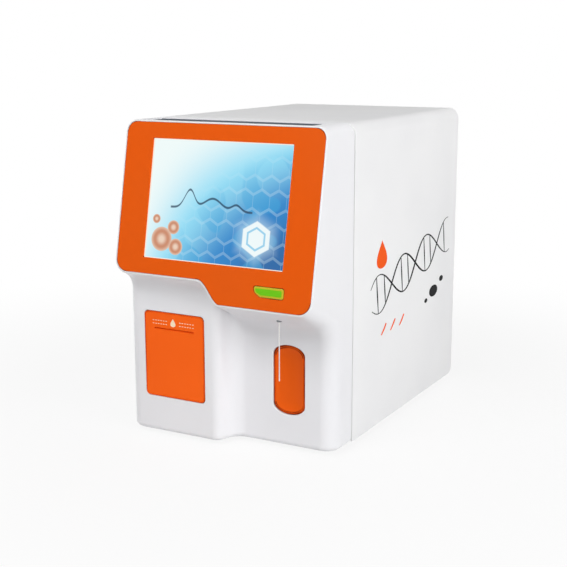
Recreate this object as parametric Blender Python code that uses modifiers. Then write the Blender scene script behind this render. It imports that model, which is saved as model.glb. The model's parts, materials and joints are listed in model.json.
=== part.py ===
"""Bench-top hematology analyzer.

A leaning touch screen under a full-width orange bezel, a printer with a hinged door on the left, an open
sample bay on the right with a lifting probe and a start key, and the works of such a machine inside.
Sizes are in metres. X runs across, Y from front to back, Z up. The origin is under the body's middle.
"""

import math

import bmesh
import bpy
from mathutils import Matrix, Vector

# Overall sizes
BODY_WIDTH = 0.303
BODY_DEPTH = 0.500
FOOT_HEIGHT = 0.006
TOP_EDGE_RADIUS = 0.016

# Clearances and cuts
SEAT_GAP = 0.0003
RUNNING_GAP = 0.0005
OVERRUN = 0.010
WELD_DISTANCE = 0.000001
SCREW_MERGE = 0.00005

# Front fascia
FASCIA_WALL = 0.004
EDGE_REACH = 0.0016
INNER_EDGE_REACH = 0.001
RIM_FLAT = 0.0005
GROUND_REACH = 0.003
BAY_PROJECTION = 0.0540
BAY_OVERHANG = 0.0660
COLUMN_STEP = 0.0325
COLUMN_WIDTH = 0.1450
COLUMN_SLANT_RUN = 0.0100
LEFT_CORNER_RADIUS = 0.018
RIGHT_CORNER_RADIUS = 0.022
COLUMN_CORNER_RADIUS = 0.014
BAY_CORNER_RADIUS = 0.021
CHIN_ANGLE = math.radians(26)
CHIN_SWEEP_REACH = 0.0215
SWEEP_LIMIT_SHARE = 0.9
PANEL_LEAN = math.radians(11.2)
PANEL_CORNER_RADIUS = 0.019
SCREEN_BOTTOM = 0.2509
TOP_BAND = 0.02366
DROP_LEFT = 0.024
DROP_RIGHT = 0.0535
DROP_STEP_LEAD = 0.0125
DROP_STEP_RUN = 0.036
PROBE_HOLE_RADIUS = 0.0045
HOOD_RECESS_DEPTH = 0.0016
HOOD_RECESS_MARGIN = 0.0025
HOOD_RECESS_LENGTH = 0.044
HOOD_RECESS_SIDE = 0.0235
HOOD_RECESS_RADIUS = 0.002

# Cover
COVER_WALL = 0.0025
SEAM_GAP = 0.0022
COVER_EDGE_RADIUS = 0.0008
COVER_REAR_CORNER_RADIUS = 0.010

# Display
BEZEL_THICKNESS = 0.0018
BEZEL_EDGE_RADIUS = 0.0004
SCREEN_WIDTH = 0.2112
SCREEN_HEIGHT = 0.1584
SCREEN_WINDOW_RADIUS = 0.0012
GLASS_MARGIN = 0.005
GLASS_THICKNESS = 0.0018
LCD_MARGIN = 0.011
LCD_THICKNESS = 0.0065
LCD_CORNER_RADIUS = 0.002
BRACKET_THICKNESS = 0.0012
BRACKET_MARGIN = 0.006
LENS_WIDTH = 0.0445
LENS_HEIGHT = 0.0131
LENS_INSET = 0.0635
LENS_DROP = 0.0282
LENS_PROUD = 0.0003
LENS_THICKNESS = 0.0052
LENS_CORNER_RADIUS = 0.0030
LENS_OUTLINE_SHARES = ((-1.0, 1.0), (1.0, 1.0), (1.0, -1.0), (-0.52, -0.97), (-0.86, -0.20))
LAMP_BOARD_THICKNESS = 0.0016
LAMP_BOARD_MARGIN = 0.004

# Printer
DOOR_WIDTH = 0.0955
DOOR_HEIGHT = 0.1196
DOOR_INSET = 0.0281
DOOR_BOTTOM = 0.0514
DOOR_THICKNESS = 0.0032
DOOR_CORNER_RADIUS = 0.0055
DOOR_EDGE_RADIUS = 0.0005
DOOR_GAP = 0.0008
SLOT_WIDTH = 0.0642
SLOT_HEIGHT = 0.0022
SLOT_DROP = 0.0230
HINGE_BARREL_RADIUS = 0.0031
HINGE_DEPTH = 0.0033
HINGE_RISE = 0.0090
HINGE_PIN_RADIUS = 0.0012
HINGE_EAR_SKIN = 0.0010
PLATEN_RADIUS = 0.005
PLATEN_LENGTH = 0.060
PLATEN_SHAFT_RADIUS = 0.002
PLATEN_DROP = 0.0065
PLATEN_STANDOFF = 0.0023
PLATEN_EAR_THICKNESS = 0.003
PLATEN_EAR_GAP = 0.0035
PLATEN_EAR_WALL = 0.0025
PRINT_HEAD_DEPTH = 0.006
PRINT_HEAD_HEIGHT = 0.028
PAPER_ROLL_RADIUS = 0.024
PAPER_ROLL_WIDTH = 0.057
PAPER_CORE_RADIUS = 0.006
PAPER_CLEARANCE = 0.002
PAPER_FRONT_CLEARANCE = 0.006
BUCKET_WALL = 0.0025

# Start key
KEY_WIDTH = 0.047
KEY_HEIGHT = 0.095
KEY_INSET = 0.0672
KEY_RISE = 0.0920
KEY_CORNER_RADIUS = 0.0225
KEY_END_SHARE = 0.62
KEY_RECESS = 0.0012
KEY_EDGE_RADIUS = 0.0006
KEY_FLANGE_MARGIN = 0.0025
KEY_FLANGE_THICKNESS = 0.002
KEY_TRAVEL = 0.0025
KEY_DISH_DEPTH = 0.0034
KEY_DISH_SHARE = 0.86
SWITCH_WIDTH = 0.008
SWITCH_HEIGHT = 0.020
SWITCH_DEPTH = 0.0065
KEY_BRACKET_THICKNESS = 0.0015
KEY_BRACKET_HEIGHT = 0.050

# Sample probe and its lift
PROBE_STANDOFF = 0.0255
PROBE_RADIUS = 0.00075
PROBE_TIP_RISE = 0.098
PROBE_TRAVEL = 0.080
PROBE_TAIL = 0.004
WASH_BLOCK_SIDE = 0.018
WASH_BLOCK_HEIGHT = 0.014
WASH_BORE_RADIUS = 0.0016
WASH_CLEARANCE = 0.006
CARRIAGE_GAP = 0.005
CARRIAGE_HEIGHT = 0.016
CARRIAGE_WIDTH = 0.018
PROBE_HOLDER_RADIUS = 0.005
LIFT_ROD_RADIUS = 0.003
LIFT_SCREW_RADIUS = 0.003
LIFT_SCREW_LEAD = 0.008
LIFT_SPACING = 0.016
LIFT_ROD_OFFSET = 0.0186
LIFT_FLANGE_THICKNESS = 0.003
LIFT_FRAME_WIDTH = 0.036
LIFT_MOTOR_SIDE = 0.028
LIFT_MOTOR_HEIGHT = 0.030
MOTOR_EDGE_RADIUS = 0.002

# Chassis
BASE_THICKNESS = 0.002
CHASSIS_THICKNESS = 0.002
CHASSIS_SETBACK = 0.0035
CABLE_HOLE_RADIUS = 0.016
CABLE_HOLE_INSET = 0.0415
CABLE_HOLE_DROP = 0.0995
FOOT_RADIUS = 0.011
FOOT_TOP_RADIUS = 0.009
FOOT_EDGE = 0.001
FOOT_INSET_X = 0.034
FOOT_INSET_FRONT = 0.062
FOOT_INSET_REAR = 0.045

# Rear panel and what it carries
REAR_RECESS = 0.014
REAR_PANEL_THICKNESS = 0.0015
FAN_SIDE = 0.080
FAN_DEPTH = 0.025
FAN_RIM = 0.0025
FAN_TIP_GAP = 0.0015
FAN_HUB_DEPTH = 0.016
FAN_HUB_WALL = 0.0045
FAN_BOSS_RADIUS = 0.0120
FAN_BOSS_DEPTH = 0.006
FAN_STRUT_WIDTH = 0.005
FAN_STRUT_DEPTH = 0.003
FAN_BLADE_COUNT = 7
FAN_BLADE_THICKNESS = 0.0012
FAN_BLADE_CHORD = 0.013
FAN_BLADE_PITCH = math.radians(38)
FAN_CORNER_RADIUS = 0.004
FAN_INSET = 0.0765
FAN_DROP = 0.0945
GRILLE_SLOT_COUNT = 8
GRILLE_SLOT_HEIGHT = 0.0036
GRILLE_EDGE_SHARE = 0.4
INLET_INSET = 0.0465
INLET_RISE = 0.036
INLET_WIDTH = 0.030
INLET_HEIGHT = 0.022
INLET_FLANGE_MARGIN = 0.005
INLET_FLANGE_THICKNESS = 0.003
INLET_DEPTH = 0.022
INLET_WALL = 0.0025
INLET_BLADE_WIDTH = 0.004
INLET_BLADE_THICKNESS = 0.0016
INLET_BLADE_SPACING = 0.007
ROCKER_SPACING = 0.045
ROCKER_WIDTH = 0.013
ROCKER_HEIGHT = 0.019
ROCKER_DEPTH = 0.011
ROCKER_WALL = 0.002
ROCKER_FLANGE_MARGIN = 0.0025
ROCKER_THROW = 12.0
ROCKER_PIVOT_DEPTH = 0.004
PORT_BLOCK_X = 0.020
PORT_BLOCK_RISE = 0.185
PORT_BLOCK_WIDTH = 0.054
PORT_BLOCK_HEIGHT = 0.026
PORT_BLOCK_DEPTH = 0.018
PORT_SOCKET_DEPTH = 0.014
NET_SOCKET_SIDE = 0.0135
BUS_SOCKET_WIDTH = 0.0145
BUS_SOCKET_HEIGHT = 0.0062
REAGENT_NAMES = ("diluent", "lyse", "cleaner", "waste")
REAGENT_INSET = 0.0375
REAGENT_PITCH = 0.028
REAGENT_RISE = 0.085
REAGENT_FLANGE_RADIUS = 0.009
REAGENT_BODY_RADIUS = 0.006
REAGENT_BARB_RADIUS = 0.0042
REAGENT_TUBE_RADIUS = 0.0030
REAGENT_BORE_RADIUS = 0.0016
REAGENT_FLANGE_THICKNESS = 0.003
REAGENT_OUTSIDE = 0.013
REAGENT_INSIDE = 0.010

# Fluid works behind the chassis wall
BATH_NAMES = ("white_cell_bath", "red_cell_bath")
BATH_INSET = 0.0395
BATH_PITCH = 0.046
BATH_RISE = 0.175
BATH_RADIUS = 0.0140
BATH_FLANGE_MARGIN = 0.0035
BATH_FLANGE_THICKNESS = 0.003
BATH_HEIGHT = 0.050
BATH_WALL = 0.002
BATH_DRAIN_RADIUS = 0.003
BATH_HOLDER_DEPTH = 0.042
BATH_HOLDER_THICKNESS = 0.006
BATH_HOLDER_MARGIN = 0.004
SYRINGE_INSET = 0.0665
SYRINGE_RISE = 0.060
SYRINGE_PITCH = 0.030
SYRINGE_STROKE = 0.055
SYRINGE_OFFSET_Y = 0.026
SYRINGE_FRAME_THICKNESS = 0.003
SYRINGE_FRAME_MARGIN = 0.003
SYRINGE_BARREL_RADII = (0.0110, 0.0070)
SYRINGE_BARREL_WALL = 0.0018
SYRINGE_SPARE_LENGTH = 0.0102
SYRINGE_ROD_RADIUS = 0.0025
SYRINGE_PISTON_LENGTH = 0.008
SYRINGE_NOZZLE_RADIUS = 0.0030
SYRINGE_NOZZLE_LENGTH = 0.006
CROSSHEAD_HEIGHT = 0.010
CROSSHEAD_DEPTH = 0.016
SYRINGE_SCREW_RADIUS = 0.003
SYRINGE_SCREW_LEAD = 0.006
SYRINGE_MOTOR_SIDE = 0.028
SYRINGE_MOTOR_HEIGHT = 0.028
VALVE_COUNT = 6
VALVE_PITCH = 0.020
VALVE_RADIUS = 0.008
VALVE_LENGTH = 0.030
VALVE_INSET = 0.0775
VALVE_RISE = 0.060
MANIFOLD_HEIGHT = 0.024
MANIFOLD_DEPTH = 0.016
MANIFOLD_MARGIN = 0.004
SAMPLING_X = 0.005
SAMPLING_RISE = 0.290
SAMPLING_SIDE = 0.038
SAMPLING_DEPTH = 0.030
SAMPLING_ROTOR_RADIUS = 0.016
SAMPLING_ROTOR_DEPTH = 0.010
SAMPLING_SHAFT_RADIUS = 0.003
SAMPLING_SHAFT_LENGTH = 0.008
SAMPLING_LEVER_LENGTH = 0.020
SAMPLING_LEVER_WIDTH = 0.006
SAMPLING_TURN = 60.0
CHAMBER_INSET = 0.0565
CHAMBER_SETBACK = 0.085
CHAMBER_RADIUS = 0.032
CHAMBER_HEIGHT = 0.110
CHAMBER_SHOULDER = 0.012
CHAMBER_NECK_RADIUS = 0.007
CHAMBER_NECK_HEIGHT = 0.010
PUMP_INSET = 0.0565
PUMP_SETBACK = 0.200
PUMP_SIDE = 0.058
PUMP_DEPTH = 0.024
PUMP_WALL = 0.004
PUMP_FLOOR = 0.004
PUMP_MOTOR_RADIUS = 0.018
PUMP_MOTOR_LENGTH = 0.032
PUMP_ROTOR_RADIUS = 0.010
PUMP_ROLLER_RADIUS = 0.005
PUMP_ROLLER_ORBIT = 0.014
PUMP_ROLLER_COUNT = 3
PUMP_BOSS_RADIUS = 0.004
PUMP_BOSS_HEIGHT = 0.010
SUPPLY_WIDTH = 0.098
SUPPLY_DEPTH = 0.150
SUPPLY_HEIGHT = 0.042
SUPPLY_INSET = 0.0665
SUPPLY_SETBACK = 0.135
SUPPLY_EDGE_RADIUS = 0.0015
SUPPLY_SLOT_COUNT = 6
SUPPLY_SLOT_WIDTH = 0.003
SUPPLY_SLOT_LENGTH = 0.040
SUPPLY_SLOT_PITCH = 0.010
SUPPLY_SLOT_DEPTH = 0.001
BOARD_THICKNESS = 0.0016
BOARD_LENGTH = 0.180
BOARD_HEIGHT = 0.130
BOARD_RISE = 0.120
BOARD_CHIP_HEIGHT = 0.003
BOARD_CHIP_SHARES = (
    (0.44, 0.66, 0.16, 0.22),
    (0.64, 0.66, 0.10, 0.14),
    (0.84, 0.60, 0.14, 0.30),
    (0.62, 0.22, 0.30, 0.12),
)
BOARD_SOCKET_HEIGHT = 0.009
BOARD_TAB_LENGTH = 0.012

COVER_LENGTH = BODY_DEPTH - BAY_PROJECTION - BAY_OVERHANG
PANEL_TOP = SCREEN_HEIGHT + TOP_BAND
REAR_Y = BODY_DEPTH / 2
SIDE_X = BODY_WIDTH / 2
SEAM_Y = REAR_Y - COVER_LENGTH
BASE_Z = FOOT_HEIGHT
TOP_Z = BASE_Z + SCREEN_BOTTOM + PANEL_TOP * math.cos(PANEL_LEAN)
BAY_Y = SEAM_Y - BAY_PROJECTION
COLUMN_Y = BAY_Y - COLUMN_STEP
COLUMN_SIDE_X = COLUMN_WIDTH - SIDE_X
BAY_SIDE_X = COLUMN_SIDE_X + COLUMN_SLANT_RUN
DROP_STEP_START_X = COLUMN_SIDE_X - DROP_STEP_LEAD
DROP_STEP_END_X = DROP_STEP_START_X + DROP_STEP_RUN
DOOR_X = DOOR_INSET + DOOR_WIDTH / 2 - SIDE_X
KEY_X = SIDE_X - KEY_INSET
PROBE_X = KEY_X
LENS_X = SIDE_X - LENS_INSET
BASE_TOP_Z = BASE_Z + SEAT_GAP + BASE_THICKNESS
CHASSIS_Y = SEAM_Y - CHASSIS_SETBACK
CHASSIS_BACK_Y = CHASSIS_Y + CHASSIS_THICKNESS
REAR_PANEL_Y = REAR_Y - REAR_RECESS - REAR_PANEL_THICKNESS

PLANES = {
    "XY": Matrix.Identity(4),
    "XZ": Matrix.Rotation(math.radians(90), 4, "X"),
    "YZ": Matrix(((0, 0, 1, 0), (1, 0, 0, 0), (0, 1, 0, 0), (0, 0, 0, 1))),
}
TURNS = {
    "Z": Matrix.Identity(4),
    "X": Matrix.Rotation(math.radians(90), 4, "Y"),
    "Y": Matrix.Rotation(math.radians(-90), 4, "X"),
}


def clear_scene():
    for item in list(bpy.data.objects):
        bpy.data.objects.remove(item, do_unlink=True)


def new_collection(name):
    collection = bpy.data.collections.new(name)
    bpy.context.scene.collection.children.link(collection)
    return collection


def finish(name, colour, roughness, metallic=0.0, alpha=1.0):
    """A Principled material in the colour of one finish."""
    material = bpy.data.materials.new(name)
    material.use_nodes = True
    shader = material.node_tree.nodes["Principled BSDF"]
    shader.inputs["Base Color"].default_value = (*colour, 1.0)
    shader.inputs["Roughness"].default_value = roughness
    shader.inputs["Metallic"].default_value = metallic
    shader.inputs["Alpha"].default_value = alpha
    material.diffuse_color = (*colour, alpha)
    return material


clear_scene()
MODEL = new_collection("hematology_analyzer")
CUTTERS = new_collection("cutters")
WHITE = finish("warm_white_plastic", (0.82, 0.82, 0.84), 0.35)
COVER_WHITE = finish("cover_white_paint", (0.84, 0.84, 0.85), 0.40)
ORANGE = finish("orange_plastic", (0.80, 0.12, 0.01), 0.35)
GLASS = finish("screen_glass", (0.05, 0.30, 0.60), 0.10)
GREEN = finish("green_lens", (0.17, 0.55, 0.02), 0.20)
STEEL = finish("stainless_steel", (0.70, 0.70, 0.72), 0.25, 1.0)
ALUMINIUM = finish("brushed_aluminium", (0.75, 0.76, 0.78), 0.40, 1.0)
SHEET = finish("zinc_plated_sheet", (0.62, 0.63, 0.65), 0.45, 1.0)
BLACK = finish("black_plastic", (0.03, 0.03, 0.03), 0.50)
GREY = finish("grey_plastic", (0.30, 0.31, 0.33), 0.50)
RUBBER = finish("black_rubber", (0.02, 0.02, 0.02), 0.80)
PAPER = finish("thermal_paper", (0.90, 0.90, 0.88), 0.80)
BOARD_GREEN = finish("circuit_board", (0.02, 0.20, 0.08), 0.45)
CLEAR = finish("clear_acrylic", (0.85, 0.90, 0.92), 0.10, 0.0, 0.35)
BRASS = finish("brass", (0.70, 0.50, 0.20), 0.30, 1.0)


def add_object(name, mesh, material):
    item = bpy.data.objects.new(name, mesh)
    if material is not None:
        mesh.materials.append(material)
    MODEL.objects.link(item)
    return item


def smooth(item, angle=math.radians(30)):
    item.data.shade_smooth()
    item.data.set_sharp_from_angle(angle=angle)


def box(name, low, high, material=None):
    """A block between two opposite corners."""
    low = Vector(low)
    high = Vector(high)
    form = bmesh.new()
    bmesh.ops.create_cube(form, size=1.0)
    bmesh.ops.scale(form, vec=high - low, verts=form.verts)
    mesh = bpy.data.meshes.new(name)
    form.to_mesh(mesh)
    form.free()
    item = add_object(name, mesh, material)
    item.location = (low + high) / 2
    return item


def rod(name, start, axis, radius, length, material=None, sides=24, end_radius=None):
    """A round bar or cone that starts at a point and runs along an axis."""
    form = bmesh.new()
    last = radius if end_radius is None else end_radius
    bmesh.ops.create_cone(form, cap_ends=True, segments=sides, radius1=radius, radius2=last, depth=length)
    bmesh.ops.translate(form, vec=(0, 0, length / 2), verts=form.verts)
    mesh = bpy.data.meshes.new(name)
    form.to_mesh(mesh)
    form.free()
    item = add_object(name, mesh, material)
    item.matrix_world = Matrix.Translation(start) @ TURNS[axis]
    smooth(item)
    return item


def turned(name, profile, start, axis, material=None, steps=24, closed=False):
    """A turned shape: (radius, height) pairs from top to bottom, spun about an axis through a point."""
    form = bmesh.new()
    points = [form.verts.new((radius, 0, height)) for radius, height in profile]
    for first, second in zip(points, points[1:]):
        form.edges.new((first, second))
    if closed:
        form.edges.new((points[-1], points[0]))
    mesh = bpy.data.meshes.new(name)
    form.to_mesh(mesh)
    form.free()
    item = add_object(name, mesh, material)
    item.matrix_world = Matrix.Translation(start) @ TURNS[axis]
    spin = item.modifiers.new("Screw", "SCREW")
    spin.axis = "Z"
    spin.steps = steps
    spin.render_steps = steps
    spin.use_merge_vertices = True
    spin.merge_threshold = SCREW_MERGE
    spin.use_smooth_shade = True
    return item


def as_mesh(item, material=None):
    """A curve object made into a welded mesh object in the same place."""
    bpy.context.view_layer.update()
    evaluated = item.evaluated_get(bpy.context.evaluated_depsgraph_get())
    mesh = bpy.data.meshes.new_from_object(evaluated)
    form = bmesh.new()
    form.from_mesh(mesh)
    bmesh.ops.remove_doubles(form, verts=form.verts, dist=WELD_DISTANCE)
    bmesh.ops.recalc_face_normals(form, faces=form.faces)
    form.to_mesh(mesh)
    form.free()
    mesh.materials.clear()
    name = item.name
    place = item.matrix_world.copy()
    bpy.data.objects.remove(item, do_unlink=True)
    mesh.name = name
    solid = add_object(name, mesh, material)
    solid.name = name
    solid.matrix_world = place
    return solid


def sheet(name, outlines, place, thickness, material=None):
    """A flat outline with straight sides. The first outline is the edge and any others are holes."""
    curve = bpy.data.curves.new(name, "CURVE")
    curve.dimensions = "2D"
    curve.fill_mode = "BOTH"
    curve.extrude = thickness / 2
    for outline in outlines:
        spline = curve.splines.new("POLY")
        spline.points.add(len(outline) - 1)
        for point, spot in zip(spline.points, outline):
            point.co = (spot[0], spot[1], 0, 1)
        spline.use_cyclic_u = True
    item = bpy.data.objects.new(name, curve)
    MODEL.objects.link(item)
    item.matrix_world = place
    return as_mesh(item, material)


def placed(plane, x=0.0, y=0.0, z=0.0):
    return Matrix.Translation((x, y, z)) @ PLANES[plane]


def bevel(item, width, segments=2, angle=math.radians(40)):
    rounding = item.modifiers.new("Bevel", "BEVEL")
    rounding.width = width
    rounding.segments = segments
    rounding.limit_method = "ANGLE"
    rounding.angle_limit = angle
    return item


def as_cutter(item):
    MODEL.objects.unlink(item)
    CUTTERS.objects.link(item)
    item.hide_render = True
    item.display_type = "WIRE"
    return item


def combine(item, operation, tools):
    for tool in tools:
        step = item.modifiers.new(operation.title(), "BOOLEAN")
        step.operation = operation
        step.solver = "EXACT"
        step.object = as_cutter(tool)
    return item


def cut(item, *tools):
    return combine(item, "DIFFERENCE", tools)


def join(item, *tools):
    return combine(item, "UNION", tools)


def on_axis(name, position, items):
    """Parent moving pieces to an empty that stands on their joint's axis."""
    pivot = bpy.data.objects.new(name, None)
    pivot.location = position
    MODEL.objects.link(pivot)
    for item in items:
        item.parent = pivot
        item.matrix_parent_inverse = Matrix.Translation(-Vector(position))


def fillet(before, corner, after, radius, steps):
    """The arc that rounds a corner, as pairs of a point and the unit normal on the path's left."""
    before, corner, after = Vector(before), Vector(corner), Vector(after)
    back = (before - corner).normalized()
    ahead = (after - corner).normalized()
    turn = math.pi - back.angle(ahead)
    reach = radius * math.tan(turn / 2)
    centre = corner + (back + ahead).normalized() * (radius / math.cos(turn / 2))
    first = corner + back * reach - centre
    last = corner + ahead * reach - centre
    side = 1.0 if (back.y * ahead.x - back.x * ahead.y) > 0 else -1.0
    arc = []
    for step in range(steps + 1):
        share = step / steps
        spoke = (first * math.sin((1 - share) * turn) + last * math.sin(share * turn)) / math.sin(turn)
        arc.append((centre + spoke, spoke.normalized() * -side))
    return arc


def rounded(corners, radii, steps=4):
    """A closed outline with its corners rounded."""
    outline = []
    count = len(corners)
    for index, corner in enumerate(corners):
        radius = radii[index] if isinstance(radii, (list, tuple)) else radii
        arc = fillet(corners[index - 1], corner, corners[(index + 1) % count], radius, steps)
        outline.extend((point.x, point.y) for point, _ in arc)
    return outline


def rectangle(width, height, radius, steps=4, x=0.0, y=0.0):
    half_width = width / 2
    half_height = height / 2
    corners = [
        (x - half_width, y - half_height),
        (x + half_width, y - half_height),
        (x + half_width, y + half_height),
        (x - half_width, y + half_height),
    ]
    return rounded(corners, radius, steps)


def circle(radius, sides=24, x=0.0, y=0.0):
    outline = []
    for side in range(sides):
        angle = 2 * math.pi * side / sides
        outline.append((x + radius * math.cos(angle), y + radius * math.sin(angle)))
    return outline


def soften(before, corner, after, reach, steps):
    """A smooth bend through a corner in space, as far as a reach along each side."""
    start = corner + (before - corner).normalized() * reach
    end = corner + (after - corner).normalized() * reach
    bend = []
    for step in range(steps + 1):
        share = step / steps
        bend.append(start * (1 - share) ** 2 + corner * 2 * share * (1 - share) + end * share ** 2)
    return bend


def panel_point(x, rise, depth=0.0):
    """A point on the leaning panel, by its rise along the face from the screen's lower edge."""
    front = -BODY_DEPTH / 2 - EDGE_REACH * math.sin(PANEL_LEAN)
    y = front + (rise + DROP_RIGHT) * math.sin(PANEL_LEAN) + depth * math.cos(PANEL_LEAN)
    z = BASE_Z + SCREEN_BOTTOM + rise * math.cos(PANEL_LEAN) - depth * math.sin(PANEL_LEAN)
    return Vector((x, y, z))


def panel_place(depth):
    """The frame of the leaning panel: local x across, y up the face, z out of it."""
    origin = panel_point(0.0, 0.0, depth)
    lean = Matrix.Rotation(math.radians(90) - PANEL_LEAN, 4, "X")
    return Matrix.Translation(origin) @ lean


def panel_y(z, depth):
    """Where a level line meets the panel's face, or a plane behind it."""
    rise = (z - BASE_Z - SCREEN_BOTTOM + depth * math.sin(PANEL_LEAN)) / math.cos(PANEL_LEAN)
    return panel_point(0.0, rise, depth).y


def drop_at(x):
    """How far the panel's lower edge lies under the screen: it steps down from left to right."""
    share = (x - DROP_STEP_START_X) / (DROP_STEP_END_X - DROP_STEP_START_X)
    share = min(max(share, 0.0), 1.0)
    blend = share * share * (3 - 2 * share)
    return DROP_LEFT + (DROP_RIGHT - DROP_LEFT) * blend


def column_side_x(y, inset):
    """The slanting side wall of the printer column, moved into the body by an inset."""
    slope = (BAY_SIDE_X - COLUMN_SIDE_X) / (BAY_Y - COLUMN_Y)
    return COLUMN_SIDE_X + (y - COLUMN_Y) * slope - inset * math.sqrt(1 + slope * slope)


def plan_arcs(inset, steps=5, small_steps=3):
    """The four rounded corners of the lower front, seen from above, from left to right."""
    half = BODY_WIDTH / 2 - inset
    column_y = COLUMN_Y + inset
    bay_y = BAY_Y + inset
    spots = [
        Vector((-half, SEAM_Y)),
        Vector((-half, column_y)),
        Vector((column_side_x(column_y, inset), column_y)),
        Vector((column_side_x(bay_y, inset), bay_y)),
        Vector((half, bay_y)),
        Vector((half, SEAM_Y)),
    ]
    radii = (
        LEFT_CORNER_RADIUS - inset,
        COLUMN_CORNER_RADIUS - inset,
        BAY_CORNER_RADIUS + inset,
        RIGHT_CORNER_RADIUS - inset,
    )
    counts = (steps, small_steps, steps, steps)
    arcs = []
    for index in range(4):
        trio = spots[index:index + 3]
        arcs.append(fillet(*trio, radii[index], counts[index]))
    return arcs


def panel_edges(inset, arcs):
    """The panel's lower edge over each column: its place on the face and the way into the face."""
    half = BODY_WIDTH / 2 - inset
    radius = PANEL_CORNER_RADIUS - inset
    steps = len(arcs[0]) - 1
    left = fillet((-half, PANEL_TOP), (-half, -DROP_LEFT), (0.0, -DROP_LEFT), radius, steps)
    right = fillet((0.0, -DROP_RIGHT), (half, -DROP_RIGHT), (half, PANEL_TOP), radius, steps)
    middle = [(Vector((spot.x, -drop_at(spot.x))), Vector((0.0, 1.0))) for spot, _ in arcs[1] + arcs[2]]
    return left + middle + right


def fascia_columns(inset, edge_reach, ground_z, ground_reach):
    """Paths down the front, each from the panel's edge, back under the chin and down to the ground."""
    arcs = plan_arcs(inset)
    plan = arcs[0] + arcs[1] + arcs[2] + arcs[3]
    lean_y = math.cos(PANEL_LEAN) + math.sin(CHIN_ANGLE)
    lean_z = math.cos(CHIN_ANGLE) - math.sin(PANEL_LEAN)
    share = inset / (1 + math.sin(CHIN_ANGLE - PANEL_LEAN))
    shift = Vector((0.0, lean_y * share, lean_z * share))
    columns = []
    for (spot, inward), (edge, into) in zip(plan, panel_edges(inset, arcs)):
        lip = panel_point(edge.x, edge.y) + shift
        rise = Vector((into.x, into.y * math.sin(PANEL_LEAN), into.y * math.cos(PANEL_LEAN)))
        run = (Vector((spot.x, spot.y)) - Vector((lip.x, lip.y))).length
        throat = Vector((spot.x, spot.y, lip.z - run * math.tan(CHIN_ANGLE)))
        ground = Vector((spot.x, spot.y, ground_z))
        under = ground + Vector((inward.x, inward.y, 0.0))
        column = soften(lip + rise, lip, throat, edge_reach, 2)
        room = SWEEP_LIMIT_SHARE * ((throat - lip).length - edge_reach)
        column += soften(lip, throat, ground, min(CHIN_SWEEP_REACH, room), 5)
        column += soften(throat, ground, under, ground_reach, 2)
        columns.append(column)
    return columns


def hood_ring(inset, edge_reach):
    """The hood's rounded edge over the sides and the top: from the panel's face onto the hood."""
    half = BODY_WIDTH / 2 - inset
    top = TOP_Z - inset
    radius = TOP_EDGE_RADIUS - inset
    left = fillet((-half, BASE_Z), (-half, top), (0.0, top), radius, 5)
    right = fillet((0.0, top), (half, top), (half, BASE_Z), radius, 5)
    ring = []
    for spot, outward in left + right:
        edge = Vector((spot.x, panel_y(spot.y, inset), spot.y))
        inner_z = spot.y - outward.y * edge_reach
        face = Vector((spot.x - outward.x * edge_reach, panel_y(inner_z, inset), inner_z))
        hood = edge + Vector((0.0, edge_reach, 0.0))
        ring.append([face, face / 4 + edge / 2 + hood / 4, hood])
    return ring


def fascia_form(name, inset, edge_reach, seam_y, ground_z, ground_reach, material=None):
    """The front form as a closed solid, whole or drawn in by an inset for its hollow."""
    form = bmesh.new()

    def add(points):
        return [form.verts.new(point) for point in points]

    columns = [add(column) for column in fascia_columns(inset, edge_reach, ground_z, ground_reach)]
    ring = [add(points) for points in hood_ring(inset, edge_reach)]
    for left, right in zip(columns, columns[1:]):
        for row in range(len(left) - 1):
            form.faces.new((left[row], left[row + 1], right[row + 1], right[row]))
    loop = [columns[0][:3]] + ring + [columns[-1][:3]]
    for left, right in zip(loop, loop[1:]):
        for row in range(2):
            form.faces.new((left[row], right[row], right[row + 1], left[row + 1]))
    side = columns[0][:1:-1] + [points[2] for points in ring] + columns[-1][2:]
    seam = add([(vert.co.x, seam_y, vert.co.z) for vert in side])
    for index in range(len(side) - 1):
        form.faces.new((side[index], side[index + 1], seam[index + 1], seam[index]))
    form.faces.new([points[0] for points in ring] + [column[0] for column in reversed(columns)])
    form.faces.new([column[-1] for column in columns] + [seam[-1], seam[0]])
    form.faces.new(seam)
    bmesh.ops.recalc_face_normals(form, faces=form.faces)
    mesh = bpy.data.meshes.new(name)
    form.to_mesh(mesh)
    form.free()
    item = add_object(name, mesh, material)
    smooth(item)
    return item


def bezel_outline(inset, steps=5, drop_steps=8):
    """The bezel's edge on the panel's face, drawn in from the hood's outer edge by an inset."""
    half = BODY_WIDTH / 2 - inset
    low_left = -DROP_LEFT + inset
    low_right = -DROP_RIGHT + inset
    top = PANEL_TOP - inset
    low_radius = PANEL_CORNER_RADIUS - inset
    top_radius = TOP_EDGE_RADIUS - inset
    outline = fillet((-half, top), (-half, low_left), (0.0, low_left), low_radius, steps)
    span = DROP_STEP_END_X - DROP_STEP_START_X
    for step in range(drop_steps + 1):
        x = DROP_STEP_START_X + span * step / drop_steps
        outline.append((Vector((x, inset - drop_at(x))), None))
    outline += fillet((0.0, low_right), (half, low_right), (half, top), low_radius, steps)
    outline += fillet((half, low_right), (half, top), (0.0, top), top_radius, steps)
    outline += fillet((0.0, top), (-half, top), (-half, low_left), top_radius, steps)
    return [(point.x, point.y) for point, _ in outline]


def screen_outline(margin, radius):
    width = SCREEN_WIDTH + 2 * margin
    height = SCREEN_HEIGHT + 2 * margin
    return rectangle(width, height, radius, 3, y=SCREEN_HEIGHT / 2)


def lens_outline(grow):
    half_width = LENS_WIDTH / 2 + grow
    half_height = LENS_HEIGHT / 2 + grow
    corners = [(LENS_X + u * half_width, v * half_height - LENS_DROP) for u, v in LENS_OUTLINE_SHARES]
    return rounded(corners[::-1], LENS_CORNER_RADIUS, 3)


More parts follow.
